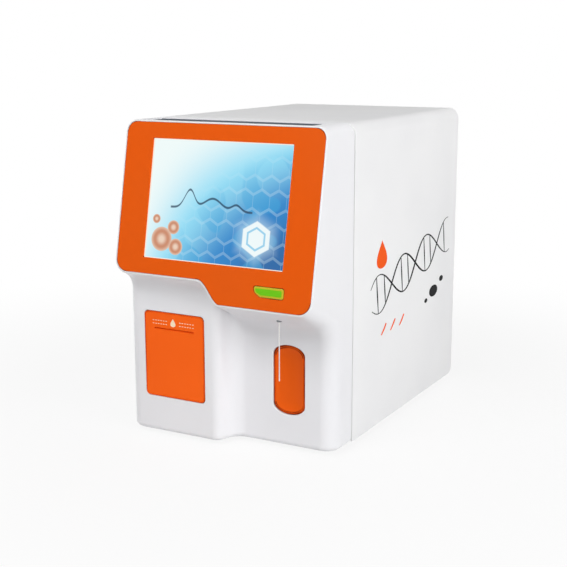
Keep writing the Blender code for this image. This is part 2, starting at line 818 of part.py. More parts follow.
def panel_slab(name, outlines, front, back, material=None):
    """A flat piece on the leaning panel, between two depths behind its face."""
    return sheet(name, outlines, panel_place((front + back) / 2), back - front, material)


BEZEL_INSET = EDGE_REACH + RIM_FLAT + SEAT_GAP
GLASS_DEPTH = BEZEL_THICKNESS + 2 * SEAT_GAP
LCD_DEPTH = max(GLASS_DEPTH + GLASS_THICKNESS, FASCIA_WALL) + SEAT_GAP
BRACKET_DEPTH = LCD_DEPTH + LCD_THICKNESS + SEAT_GAP
DOOR_Z = BASE_Z + DOOR_BOTTOM
HINGE_Y = COLUMN_Y + HINGE_DEPTH
HINGE_Z = DOOR_Z + HINGE_RISE
OPENING_HALF = DOOR_WIDTH / 2 + DOOR_GAP
BUCKET_HALF = OPENING_HALF + BUCKET_WALL
BUCKET_FRONT_Y = COLUMN_Y + FASCIA_WALL + SEAT_GAP
ROLL_Y = COLUMN_Y + DOOR_THICKNESS + PAPER_FRONT_CLEARANCE + PAPER_ROLL_RADIUS
ROLL_Z = DOOR_Z - DOOR_GAP + SEAT_GAP + PAPER_ROLL_RADIUS
BUCKET_BACK_Y = ROLL_Y + PAPER_ROLL_RADIUS + PAPER_CLEARANCE
PLATEN_Y = COLUMN_Y + DOOR_THICKNESS + PLATEN_STANDOFF + PLATEN_RADIUS
SLOT_Z = DOOR_Z + DOOR_HEIGHT - SLOT_DROP
PLATEN_Z = SLOT_Z - PLATEN_DROP
KEY_Z = BASE_Z + KEY_RISE
KEY_BODY_BACK_Y = BAY_Y + FASCIA_WALL + SEAT_GAP
FAN_X = FAN_INSET - SIDE_X
FAN_BORE_RADIUS = FAN_SIDE / 2 - FAN_RIM
FAN_BLADE_RADIUS = FAN_BORE_RADIUS - FAN_TIP_GAP
FAN_HUB_RADIUS = FAN_BOSS_RADIUS + RUNNING_GAP + FAN_HUB_WALL
GRILLE_SLOT_PITCH = 2 * FAN_BLADE_RADIUS / (GRILLE_SLOT_COUNT + GRILLE_EDGE_SHARE)
INLET_X = INLET_INSET - SIDE_X
ROCKER_X = INLET_X + ROCKER_SPACING
BATH_X = (BATH_INSET - SIDE_X, BATH_INSET + BATH_PITCH - SIDE_X)
BATH_FLANGE_RADIUS = BATH_RADIUS + BATH_FLANGE_MARGIN
SYRINGE_X = SIDE_X - SYRINGE_INSET
SYRINGE_FRAME_WIDTH = 2 * (SYRINGE_PITCH + SYRINGE_BARREL_RADII[0])
SYRINGE_FLANGE_DEPTH = SYRINGE_OFFSET_Y + SYRINGE_BARREL_RADII[0] + SYRINGE_FRAME_MARGIN
SYRINGE_BARREL_LENGTH = SYRINGE_STROKE + SYRINGE_PISTON_LENGTH + SYRINGE_BARREL_WALL + SYRINGE_SPARE_LENGTH
VALVE_X = VALVE_INSET - SIDE_X
CHAMBER_X = SIDE_X - CHAMBER_INSET
CHAMBER_Y = REAR_Y - CHAMBER_SETBACK
PUMP_X = SIDE_X - PUMP_INSET
PUMP_Y = REAR_Y - PUMP_SETBACK
SUPPLY_X = SUPPLY_INSET - SIDE_X
SUPPLY_Y = REAR_Y - SUPPLY_SETBACK
KEY_BACK_Y = KEY_BODY_BACK_Y + KEY_FLANGE_THICKNESS
SWITCH_Y = KEY_BACK_Y + KEY_TRAVEL + RUNNING_GAP
KEY_BRACKET_Y = SWITCH_Y + SWITCH_DEPTH + SEAT_GAP
PROBE_Y = BAY_Y - PROBE_STANDOFF


def fascia_inner_chin_z(y):
    """The height of the chin's inner face over the sample bay at a depth."""
    lip = panel_point(0.0, -DROP_RIGHT)
    normal_wall = FASCIA_WALL / math.cos(CHIN_ANGLE)
    return lip.z - (y - lip.y) * math.tan(CHIN_ANGLE) + normal_wall


WASH_Z = fascia_inner_chin_z(PROBE_Y - WASH_BLOCK_SIDE / 2) + SEAT_GAP
CARRIAGE_Z = WASH_Z + WASH_BLOCK_HEIGHT + WASH_CLEARANCE
LIFT_BASE_Z = WASH_Z + WASH_BLOCK_HEIGHT - LIFT_FLANGE_THICKNESS
LIFT_TOP_Z = CARRIAGE_Z + CARRIAGE_HEIGHT + PROBE_TRAVEL + CARRIAGE_GAP
LIFT_FRAME_Y = CHASSIS_Y - SEAT_GAP - LIFT_FLANGE_THICKNESS
LIFT_ROD_Y = LIFT_FRAME_Y - LIFT_ROD_OFFSET
LIFT_SCREW_Y = LIFT_ROD_Y - LIFT_SPACING


def make_front_fascia():
    fascia = fascia_form("front_fascia", 0.0, EDGE_REACH, SEAM_Y, BASE_Z, GROUND_REACH, WHITE)
    hollow = fascia_form(
        "fascia_hollow", FASCIA_WALL, INNER_EDGE_REACH, SEAM_Y + OVERRUN, BASE_Z - OVERRUN, INNER_EDGE_REACH
    )
    pocket = panel_slab(
        "bezel_pocket", [bezel_outline(BEZEL_INSET - SEAT_GAP)], -OVERRUN, BEZEL_THICKNESS + SEAT_GAP
    )
    window = panel_slab(
        "screen_window", [screen_outline(GLASS_MARGIN + SEAT_GAP, SCREEN_WINDOW_RADIUS)], 0.0, OVERRUN
    )
    lamp = panel_slab("lamp_hole", [lens_outline(SEAT_GAP)], 0.0, OVERRUN)
    opening = sheet(
        "door_opening",
        [rectangle(2 * OPENING_HALF, DOOR_HEIGHT + 2 * DOOR_GAP, DOOR_CORNER_RADIUS + DOOR_GAP)],
        placed("XZ", DOOR_X, COLUMN_Y, DOOR_Z + DOOR_HEIGHT / 2),
        2 * OVERRUN,
    )
    key_hole = sheet(
        "key_hole",
        [key_outline(RUNNING_GAP)],
        placed("XZ", KEY_X, BAY_Y, KEY_Z),
        2 * OVERRUN,
    )
    probe_hole = rod(
        "probe_hole",
        (PROBE_X, PROBE_Y, BASE_Z + PROBE_TIP_RISE),
        "Z",
        PROBE_HOLE_RADIUS,
        WASH_Z - BASE_Z - PROBE_TIP_RISE,
    )
    cut(fascia, hollow, pocket, window, lamp, opening, key_hole, probe_hole, hood_recess())
    cut(fascia, *hinge_pockets())
    return fascia


def hood_recess():
    """A shallow tray in the hood's top, just behind its front edge."""
    middle_y = panel_y(TOP_Z, 0.0) + HOOD_RECESS_MARGIN + HOOD_RECESS_LENGTH / 2
    width = BODY_WIDTH - 2 * HOOD_RECESS_SIDE
    outline = rectangle(width, HOOD_RECESS_LENGTH, HOOD_RECESS_RADIUS, 3, y=middle_y)
    middle = TOP_Z - HOOD_RECESS_DEPTH + OVERRUN / 2
    return sheet("hood_recess", [outline], placed("XY", z=middle), OVERRUN)


def hinge_pockets():
    """Pockets beside the door's opening for the two ears that hold the hinge pin."""
    pockets = []
    for side, word in ((-1, "left"), (1, "right")):
        inner = DOOR_X + side * (OPENING_HALF - SEAT_GAP)
        outer = DOOR_X + side * (BUCKET_HALF + SEAT_GAP)
        reach = HINGE_BARREL_RADIUS + SEAT_GAP
        low = (min(inner, outer), COLUMN_Y + HINGE_EAR_SKIN - SEAT_GAP, HINGE_Z - reach)
        high = (max(inner, outer), COLUMN_Y + OVERRUN, HINGE_Z + reach)
        pockets.append(box("hinge_pocket_" + word, low, high))
    return pockets


def key_outline(grow):
    """A stadium's outline, drawn longer first and then pressed together to ends of shallow arcs."""
    length = (KEY_HEIGHT + 2 * grow) / KEY_END_SHARE
    outline = rectangle(KEY_WIDTH + 2 * grow, length, KEY_CORNER_RADIUS + grow, steps=8)
    return [(x, z * KEY_END_SHARE) for x, z in outline]


def tunnel_outline(inset, bottom_z):
    """The body's section across: straight sides and a rounded top, closed by a level line below."""
    half = BODY_WIDTH / 2 - inset
    top = TOP_Z - inset
    radius = TOP_EDGE_RADIUS - inset
    outline = [(-half, bottom_z), (half, bottom_z)]
    outline += [(p.x, p.y) for p, _ in fillet((half, bottom_z), (half, top), (0.0, top), radius, 5)]
    outline += [(p.x, p.y) for p, _ in fillet((0.0, top), (-half, top), (-half, bottom_z), radius, 5)]
    return outline


def make_cover_shell():
    """Top and sides in one sheet, bent over the body like a tunnel."""
    outer = tunnel_outline(0.0, BASE_Z)
    inner = tunnel_outline(COVER_WALL, BASE_Z)
    wrap = outer[1:] + [outer[0]] + [inner[0]] + inner[:1:-1] + [inner[1]]
    front = SEAM_Y + SEAM_GAP
    middle = (front + REAR_Y) / 2
    shell = sheet("cover_shell", [wrap], placed("XZ", y=middle), REAR_Y - front, COVER_WHITE)
    radius = COVER_REAR_CORNER_RADIUS
    arc = fillet((REAR_Y, TOP_Z), (REAR_Y, BASE_Z), (0.0, BASE_Z), radius, 4)
    scrap = [(point.x, point.y) for point, _ in arc]
    scrap += [(REAR_Y - radius, BASE_Z - OVERRUN), (REAR_Y + OVERRUN, BASE_Z - OVERRUN)]
    scrap += [(REAR_Y + OVERRUN, BASE_Z + radius)]
    cut(shell, sheet("rear_corner_scrap", [scrap], placed("YZ"), BODY_WIDTH + OVERRUN))
    bevel(shell, COVER_EDGE_RADIUS)
    smooth(shell)
    return shell


def make_display():
    outline = [bezel_outline(BEZEL_INSET), screen_outline(0.0, SCREEN_WINDOW_RADIUS), lens_outline(SEAT_GAP)]
    bevel(panel_slab("display_bezel", outline, 0.0, BEZEL_THICKNESS, ORANGE), BEZEL_EDGE_RADIUS, 1)
    glass = [screen_outline(GLASS_MARGIN, SCREEN_WINDOW_RADIUS)]
    panel_slab("touch_screen", glass, GLASS_DEPTH, GLASS_DEPTH + GLASS_THICKNESS, GLASS)
    module = [screen_outline(LCD_MARGIN, LCD_CORNER_RADIUS)]
    panel_slab("lcd_module", module, LCD_DEPTH, LCD_DEPTH + LCD_THICKNESS, SHEET)
    frame = [screen_outline(LCD_MARGIN + BRACKET_MARGIN, LCD_CORNER_RADIUS)]
    panel_slab("lcd_bracket", frame, BRACKET_DEPTH, BRACKET_DEPTH + BRACKET_THICKNESS, ALUMINIUM)
    lens = panel_slab("status_lens", [lens_outline(0.0)], -LENS_PROUD, LENS_THICKNESS, GREEN)
    bevel(lens, LENS_PROUD, 1)
    width = LENS_WIDTH + 2 * LAMP_BOARD_MARGIN
    height = LENS_HEIGHT + LAMP_BOARD_MARGIN
    board = rectangle(width, height, LCD_CORNER_RADIUS, 2, LENS_X, -LENS_DROP)
    front = LENS_THICKNESS + SEAT_GAP
    panel_slab("status_lamp_board", [board], front, front + LAMP_BOARD_THICKNESS, BOARD_GREEN)


def make_printer_door():
    plate = sheet(
        "printer_door",
        [rectangle(DOOR_WIDTH, DOOR_HEIGHT, DOOR_CORNER_RADIUS)],
        placed("XZ", DOOR_X, COLUMN_Y + DOOR_THICKNESS / 2, DOOR_Z + DOOR_HEIGHT / 2),
        DOOR_THICKNESS,
        ORANGE,
    )
    slot = box(
        "paper_slot",
        (DOOR_X - SLOT_WIDTH / 2, COLUMN_Y - OVERRUN, SLOT_Z - SLOT_HEIGHT / 2),
        (DOOR_X + SLOT_WIDTH / 2, COLUMN_Y + OVERRUN, SLOT_Z + SLOT_HEIGHT / 2),
    )
    bevel(plate, DOOR_EDGE_RADIUS, 1)
    cut(plate, slot)
    left = DOOR_X - DOOR_WIDTH / 2 + SEAT_GAP
    barrel_width = DOOR_WIDTH - 2 * SEAT_GAP
    start = (left, HINGE_Y, HINGE_Z)
    join(plate, rod("door_barrel", start, "X", HINGE_BARREL_RADIUS, barrel_width, sides=20))
    join(plate, *platen_ears())
    bore_left = left - OVERRUN
    bore_width = DOOR_WIDTH + 2 * OVERRUN
    bore = HINGE_PIN_RADIUS + SEAT_GAP
    cut(plate, rod("door_bore", (bore_left, HINGE_Y, HINGE_Z), "X", bore, bore_width, sides=16))
    hole = PLATEN_SHAFT_RADIUS + SEAT_GAP
    cut(plate, rod("platen_bore", (bore_left, PLATEN_Y, PLATEN_Z), "X", hole, bore_width, sides=16))
    return plate


def platen_ears():
    """Two ears behind the door that carry the rubber roller."""
    ears = []
    half = PLATEN_EAR_WALL + PLATEN_SHAFT_RADIUS + SEAT_GAP
    for side, word in ((-1, "left"), (1, "right")):
        inner = DOOR_X + side * (PLATEN_LENGTH / 2 + PLATEN_EAR_GAP)
        outer = inner + side * PLATEN_EAR_THICKNESS
        low = (min(inner, outer), COLUMN_Y + DOOR_THICKNESS / 2, PLATEN_Z - half)
        high = (max(inner, outer), PLATEN_Y + half, PLATEN_Z + half)
        ears.append(box("platen_ear_" + word, low, high))
    return ears


def make_printer():
    door = make_printer_door()
    reach = PLATEN_LENGTH / 2 + PLATEN_EAR_GAP + PLATEN_EAR_THICKNESS - SEAT_GAP
    half = PLATEN_LENGTH / 2
    profile = [
        (0.0, reach),
        (PLATEN_SHAFT_RADIUS, reach),
        (PLATEN_SHAFT_RADIUS, half),
        (PLATEN_RADIUS, half),
        (PLATEN_RADIUS, -half),
        (PLATEN_SHAFT_RADIUS, -half),
        (PLATEN_SHAFT_RADIUS, -reach),
        (0.0, -reach),
    ]
    platen = turned("platen_roller", profile, (DOOR_X, PLATEN_Y, PLATEN_Z), "X", RUBBER, 16)
    on_axis("printer_door_axis", (DOOR_X, HINGE_Y, HINGE_Z), [door])
    on_axis("platen_axis", (DOOR_X, PLATEN_Y, PLATEN_Z), [platen])
    rod(
        "printer_hinge_pin",
        (DOOR_X - BUCKET_HALF, HINGE_Y, HINGE_Z),
        "X",
        HINGE_PIN_RADIUS,
        2 * BUCKET_HALF,
        STEEL,
        12,
    )
    make_bucket()
    paper = PAPER_ROLL_WIDTH / 2
    loop = [
        (PAPER_CORE_RADIUS, paper),
        (PAPER_ROLL_RADIUS, paper),
        (PAPER_ROLL_RADIUS, -paper),
        (PAPER_CORE_RADIUS, -paper),
    ]
    roll = turned("paper_roll", loop, (DOOR_X, ROLL_Y, ROLL_Z), "X", PAPER, 32, closed=True)
    on_axis("paper_roll_axis", (DOOR_X, ROLL_Y, ROLL_Z), [roll])
    head_front = PLATEN_Y + PLATEN_RADIUS + SEAT_GAP
    width = OPENING_HALF - SEAT_GAP
    box(
        "print_head",
        (DOOR_X - width, head_front, PLATEN_Z - PRINT_HEAD_HEIGHT / 2),
        (DOOR_X + width, head_front + PRINT_HEAD_DEPTH, PLATEN_Z + PRINT_HEAD_HEIGHT / 2),
        BLACK,
    )


def make_bucket():
    """The printer's open-fronted housing, with two ears that hold the door's hinge pin."""
    floor = DOOR_Z - DOOR_GAP
    ceiling = DOOR_Z + DOOR_HEIGHT + DOOR_GAP
    bucket = box(
        "printer_bucket",
        (DOOR_X - BUCKET_HALF, BUCKET_FRONT_Y, floor - BUCKET_WALL),
        (DOOR_X + BUCKET_HALF, BUCKET_BACK_Y + BUCKET_WALL, ceiling + BUCKET_WALL),
        BLACK,
    )
    inside = box(
        "bucket_inside",
        (DOOR_X - OPENING_HALF, BUCKET_FRONT_Y - OVERRUN, floor),
        (DOOR_X + OPENING_HALF, BUCKET_BACK_Y, ceiling),
    )
    ears = []
    for side, word in ((-1, "left"), (1, "right")):
        inner = DOOR_X + side * OPENING_HALF
        outer = DOOR_X + side * BUCKET_HALF
        low = (min(inner, outer), COLUMN_Y + HINGE_EAR_SKIN, HINGE_Z - HINGE_BARREL_RADIUS)
        high = (max(inner, outer), BUCKET_FRONT_Y + BUCKET_WALL, HINGE_Z + HINGE_BARREL_RADIUS)
        ears.append(box("hinge_ear_" + word, low, high))
    bore = HINGE_PIN_RADIUS + SEAT_GAP
    start = (DOOR_X - BUCKET_HALF - OVERRUN, HINGE_Y, HINGE_Z)
    pin_bore = rod("bucket_bore", start, "X", bore, 2 * BUCKET_HALF + 2 * OVERRUN, sides=16)
    cut(bucket, inside)
    join(bucket, *ears)
    cut(bucket, pin_bore)


def make_start_key():
    front = BAY_Y + KEY_RECESS
    depth = KEY_BODY_BACK_Y + KEY_FLANGE_THICKNESS / 2 - front
    key = sheet(
        "start_key", [key_outline(0.0)], placed("XZ", KEY_X, front + depth / 2, KEY_Z), depth, ORANGE
    )
    bevel(key, KEY_EDGE_RADIUS, 1)
    flange = sheet(
        "key_flange",
        [key_outline(KEY_FLANGE_MARGIN)],
        placed("XZ", KEY_X, KEY_BODY_BACK_Y + KEY_FLANGE_THICKNESS / 2, KEY_Z),
        KEY_FLANGE_THICKNESS,
    )
    dish_form = bmesh.new()
    bmesh.ops.create_uvsphere(dish_form, u_segments=24, v_segments=12, radius=1.0)
    scale = (KEY_WIDTH / 2 * KEY_DISH_SHARE, KEY_DISH_DEPTH, KEY_HEIGHT / 2 * KEY_DISH_SHARE)
    bmesh.ops.scale(dish_form, vec=scale, verts=dish_form.verts)
    dish_mesh = bpy.data.meshes.new("key_dish")
    dish_form.to_mesh(dish_mesh)
    dish_form.free()
    dish = add_object("key_dish", dish_mesh, None)
    dish.location = (KEY_X, front, KEY_Z)
    join(key, flange)
    cut(key, dish)
    on_axis("start_key_slide", (KEY_X, BAY_Y, KEY_Z), [key])
    box(
        "key_switch",
        (KEY_X - SWITCH_WIDTH / 2, SWITCH_Y, KEY_Z - SWITCH_HEIGHT / 2),
        (KEY_X + SWITCH_WIDTH / 2, SWITCH_Y + SWITCH_DEPTH, KEY_Z + SWITCH_HEIGHT / 2),
        BLACK,
    )
    make_key_bracket()


def make_key_bracket():
    """A bent strip behind the key, on two legs that stand on the fascia."""
    leg = KEY_WIDTH / 2 + KEY_FLANGE_MARGIN + RUNNING_GAP
    wall = KEY_BRACKET_THICKNESS
    front = KEY_BODY_BACK_Y
    back = KEY_BRACKET_Y + wall
    outline = [
        (-leg - wall, front),
        (-leg, front),
        (-leg, KEY_BRACKET_Y),
        (leg, KEY_BRACKET_Y),
        (leg, front),
        (leg + wall, front),
        (leg + wall, back),
        (-leg - wall, back),
    ]
    sheet("key_bracket", [outline], placed("XY", KEY_X, z=KEY_Z), KEY_BRACKET_HEIGHT, SHEET)


def make_probe_lift():
    """The probe, the block that rinses it and the screw lift that raises it."""
    base = Vector((PROBE_X, PROBE_Y, BASE_Z + PROBE_TIP_RISE))
    top = CARRIAGE_Z + CARRIAGE_HEIGHT + PROBE_TAIL
    probe = rod("sample_probe", base, "Z", PROBE_RADIUS, top - base.z, STEEL, 12)
    side = WASH_BLOCK_SIDE / 2
    wash = box(
        "probe_wash_block",
        (PROBE_X - side, PROBE_Y - side, WASH_Z),
        (PROBE_X + side, PROBE_Y + side, WASH_Z + WASH_BLOCK_HEIGHT),
        GREY,
    )
    start = (PROBE_X, PROBE_Y, WASH_Z - OVERRUN)
    length = WASH_BLOCK_HEIGHT + 2 * OVERRUN
    cut(wash, rod("wash_bore", start, "Z", WASH_BORE_RADIUS, length, sides=16))
    carriage = make_probe_carriage()
    on_axis("probe_lift_slide", (PROBE_X, PROBE_Y, CARRIAGE_Z), [probe, carriage])
    run = LIFT_TOP_Z + LIFT_FLANGE_THICKNESS - LIFT_BASE_Z
    rod("lift_guide_rod", (PROBE_X, LIFT_ROD_Y, LIFT_BASE_Z), "Z", LIFT_ROD_RADIUS, run, STEEL, 20)
    foot = (PROBE_X, LIFT_SCREW_Y, LIFT_BASE_Z)
    screw = rod("lift_screw", foot, "Z", LIFT_SCREW_RADIUS, run, STEEL, 20)
    on_axis("lift_screw_axis", foot, [screw])
    make_lift_frame()
    motor_z = LIFT_TOP_Z + LIFT_FLANGE_THICKNESS + SEAT_GAP
    half = LIFT_MOTOR_SIDE / 2
    motor = box(
        "lift_motor",
        (PROBE_X - half, LIFT_SCREW_Y - half, motor_z),
        (PROBE_X + half, LIFT_SCREW_Y + half, motor_z + LIFT_MOTOR_HEIGHT),
        BLACK,
    )
    bevel(motor, MOTOR_EDGE_RADIUS, 1)


def make_probe_carriage():
    """The arm that grips the probe and rides on the rod and the screw."""
    half = CARRIAGE_WIDTH / 2
    back = LIFT_ROD_Y + half
    carriage = box(
        "probe_carriage",
        (PROBE_X - half, PROBE_Y, CARRIAGE_Z),
        (PROBE_X + half, back, CARRIAGE_Z + CARRIAGE_HEIGHT),
        ALUMINIUM,
    )
    grip = (PROBE_X, PROBE_Y, CARRIAGE_Z)
    nose = rod("carriage_nose", grip, "Z", PROBE_HOLDER_RADIUS, CARRIAGE_HEIGHT, sides=16)
    shoulder = box(
        "carriage_waist_left",
        (PROBE_X - half - OVERRUN, PROBE_Y - OVERRUN, CARRIAGE_Z - OVERRUN),
        (PROBE_X - PROBE_HOLDER_RADIUS, PROBE_Y + LIFT_SPACING, CARRIAGE_Z + CARRIAGE_HEIGHT + OVERRUN),
    )
    other = box(
        "carriage_waist_right",
        (PROBE_X + PROBE_HOLDER_RADIUS, PROBE_Y - OVERRUN, CARRIAGE_Z - OVERRUN),
        (PROBE_X + half + OVERRUN, PROBE_Y + LIFT_SPACING, CARRIAGE_Z + CARRIAGE_HEIGHT + OVERRUN),
    )
    cut(carriage, shoulder, other)
    join(carriage, nose)
    bores = (
        ("probe_grip", PROBE_Y, PROBE_RADIUS + SEAT_GAP),
        ("screw_bore", LIFT_SCREW_Y, LIFT_SCREW_RADIUS + RUNNING_GAP),
        ("rod_bore", LIFT_ROD_Y, LIFT_ROD_RADIUS + RUNNING_GAP),
    )
    length = CARRIAGE_HEIGHT + 2 * OVERRUN
    for name, y, radius in bores:
        cut(carriage, rod(name, (PROBE_X, y, CARRIAGE_Z - OVERRUN), "Z", radius, length, sides=20))
    return carriage


def make_lift_frame():
    """A bent plate on the chassis wall, with a foot and a head that hold the rod and the screw."""
    wall = LIFT_FLANGE_THICKNESS
    front = PROBE_Y + WASH_BLOCK_SIDE / 2 + SEAT_GAP
    back = LIFT_FRAME_Y + wall
    head_front = LIFT_SCREW_Y - LIFT_MOTOR_SIDE / 2
    outline = [
        (front, LIFT_BASE_Z),
        (back, LIFT_BASE_Z),
        (back, LIFT_TOP_Z + wall),
        (head_front, LIFT_TOP_Z + wall),
        (head_front, LIFT_TOP_Z),
        (back - wall, LIFT_TOP_Z),
        (back - wall, LIFT_BASE_Z + wall),
        (front, LIFT_BASE_Z + wall),
    ]
    frame = sheet("lift_frame", [outline], placed("YZ", PROBE_X), LIFT_FRAME_WIDTH, SHEET)
    length = LIFT_TOP_Z - LIFT_BASE_Z + 4 * OVERRUN
    low = LIFT_BASE_Z - 2 * OVERRUN
    for name, y, radius in (
        ("frame_screw_bore", LIFT_SCREW_Y, LIFT_SCREW_RADIUS + SEAT_GAP),
        ("frame_rod_bore", LIFT_ROD_Y, LIFT_ROD_RADIUS + SEAT_GAP),
    ):
        cut(frame, rod(name, (PROBE_X, y, low), "Z", radius, length, sides=20))


def make_base_plate():
    inset = FASCIA_WALL + SEAT_GAP
    outline = []
    for arc in plan_arcs(inset):
        outline += [(point.x, point.y) for point, _ in arc]
    half = BODY_WIDTH / 2 - inset
    back = REAR_Y - COVER_REAR_CORNER_RADIUS - COVER_WALL
    outline += [(half, back), (-half, back)]
    z = BASE_Z + SEAT_GAP + BASE_THICKNESS / 2
    sheet("base_plate", [outline], placed("XY", z=z), BASE_THICKNESS, SHEET)


def make_feet():
    front = SEAM_Y - BAY_PROJECTION + FOOT_INSET_FRONT
    back = REAR_Y - FOOT_INSET_REAR
    side = BODY_WIDTH / 2 - FOOT_INSET_X
    top = BASE_Z
    profile = [
        (0.0, top),
        (FOOT_TOP_RADIUS, top),
        (FOOT_RADIUS, top / 2),
        (FOOT_RADIUS, FOOT_EDGE),
        (FOOT_RADIUS - FOOT_EDGE, 0.0),
        (0.0, 0.0),
    ]
    for name, x, y in (
        ("foot_front_left", -side, front),
        ("foot_front_right", side, front),
        ("foot_rear_left", -side, back),
        ("foot_rear_right", side, back),
    ):
        turned(name, profile, (x, y, 0.0), "Z", RUBBER, 20)


def make_chassis_wall():
    """The upright plate between the fascia and the works behind it."""
    outline = tunnel_outline(FASCIA_WALL + SEAT_GAP, BASE_TOP_Z + SEAT_GAP)
    hole = circle(CABLE_HOLE_RADIUS, 20, CABLE_HOLE_INSET - SIDE_X, TOP_Z - CABLE_HOLE_DROP)
    y = CHASSIS_Y + CHASSIS_THICKNESS / 2
    sheet("chassis_wall", [outline, hole], placed("XZ", y=y), CHASSIS_THICKNESS, SHEET)


def reagent_x(index):
    return SIDE_X - REAGENT_INSET - (len(REAGENT_NAMES) - 1 - index) * REAGENT_PITCH


def socket_hole(width, height, x, rise):
    return rectangle(width + 2 * SEAT_GAP, height + 2 * SEAT_GAP, SEAT_GAP, 2, x, BASE_Z + rise)


def make_rear_panel():
    outline = tunnel_outline(COVER_WALL + SEAT_GAP, BASE_TOP_Z + SEAT_GAP)
    switch_width = ROCKER_WIDTH + 2 * ROCKER_WALL
    switch_height = ROCKER_HEIGHT + 2 * ROCKER_WALL
    holes = [
        socket_hole(INLET_WIDTH, INLET_HEIGHT, INLET_X, INLET_RISE),
        socket_hole(switch_width, switch_height, ROCKER_X, INLET_RISE),
        socket_hole(PORT_BLOCK_WIDTH, PORT_BLOCK_HEIGHT, PORT_BLOCK_X, PORT_BLOCK_RISE),
    ]
    for index in range(len(REAGENT_NAMES)):
        x = reagent_x(index)
        holes.append(circle(REAGENT_BODY_RADIUS + SEAT_GAP, 20, x, BASE_Z + REAGENT_RISE))
    for index in range(GRILLE_SLOT_COUNT):
        offset = (index - (GRILLE_SLOT_COUNT - 1) / 2) * GRILLE_SLOT_PITCH
        chord = 2 * math.sqrt(FAN_BLADE_RADIUS ** 2 - offset ** 2)
        z = TOP_Z - FAN_DROP + offset
        holes.append(rectangle(chord, GRILLE_SLOT_HEIGHT, GRILLE_SLOT_HEIGHT / 3, 2, FAN_X, z))
    y = REAR_PANEL_Y + REAR_PANEL_THICKNESS / 2
    sheet("rear_panel", [outline] + holes, placed("XZ", y=y), REAR_PANEL_THICKNESS, WHITE)


def make_fan():
    back = REAR_PANEL_Y - SEAT_GAP
    front = back - FAN_DEPTH
    z = TOP_Z - FAN_DROP
    strut_front = front + SEAT_GAP
    outlines = [rectangle(FAN_SIDE, FAN_SIDE, FAN_CORNER_RADIUS, 3), circle(FAN_BORE_RADIUS, 32)]
    frame = sheet("fan_frame", outlines, placed("XZ", FAN_X, front + FAN_DEPTH / 2, z), FAN_DEPTH, BLACK)
    struts = []
    for index in range(3):
        strut = box(
            "fan_strut_" + str(index),
            (0.0, strut_front, -FAN_STRUT_WIDTH / 2),
            (FAN_BORE_RADIUS + FAN_RIM / 2, front + FAN_STRUT_DEPTH, FAN_STRUT_WIDTH / 2),
        )
        spin = Matrix.Rotation(2 * math.pi * index / 3, 4, "Y")
        strut.matrix_world = Matrix.Translation((FAN_X, 0.0, z)) @ spin @ Matrix.Translation(strut.location)
        struts.append(strut)
    boss = rod("fan_boss", (FAN_X, strut_front, z), "Y", FAN_BOSS_RADIUS, FAN_BOSS_DEPTH, sides=20)
    join(frame, *struts)
    join(frame, boss)
    make_fan_rotor(front, z)


def make_fan_rotor(front, z):
    """A cup that turns over the frame's boss, with slanting blades round it."""
    start = front + FAN_STRUT_DEPTH + RUNNING_GAP
    depth = FAN_HUB_DEPTH
    inner = FAN_BOSS_RADIUS + RUNNING_GAP
    profile = [
        (0.0, depth),
        (FAN_HUB_RADIUS, depth),
        (FAN_HUB_RADIUS, 0.0),
        (inner, 0.0),
        (inner, FAN_BOSS_DEPTH),
        (0.0, FAN_BOSS_DEPTH),
    ]
    rotor = turned("fan_rotor", profile, (FAN_X, start, z), "Y", BLACK, 28)
    blades = []
    root = FAN_HUB_RADIUS - FAN_HUB_WALL / 2
    for index in range(FAN_BLADE_COUNT):
        blade = box(
            "fan_blade_" + str(index),
            (root, -FAN_BLADE_CHORD / 2, -FAN_BLADE_THICKNESS / 2),
            (FAN_BLADE_RADIUS, FAN_BLADE_CHORD / 2, FAN_BLADE_THICKNESS / 2),
        )
        pitch = Matrix.Rotation(FAN_BLADE_PITCH, 4, "X")
        spin = Matrix.Rotation(2 * math.pi * index / FAN_BLADE_COUNT, 4, "Y")
        centre = Matrix.Translation((FAN_X, start + depth / 2, z))
        blade.matrix_world = centre @ spin @ pitch @ Matrix.Translation(blade.location)
        blades.append(blade)
    join(rotor, *blades)
    on_axis("fan_axis", (FAN_X, start, z), [rotor])


def framed_socket(name, x, z, width, height, margin, flange, depth, material):
    """A rectangular body through the rear panel with a flange outside it."""
    face = REAR_PANEL_Y + REAR_PANEL_THICKNESS + SEAT_GAP
    item = box(
        name,
        (x - width / 2, face - depth, z - height / 2),
        (x + width / 2, face + flange / 2, z + height / 2),
        material,
    )
    rim = box(
        name + "_flange",
        (x - width / 2 - margin, face, z - height / 2 - margin),
        (x + width / 2 + margin, face + flange, z + height / 2 + margin),
    )
    join(item, rim)
    return item, face + flange


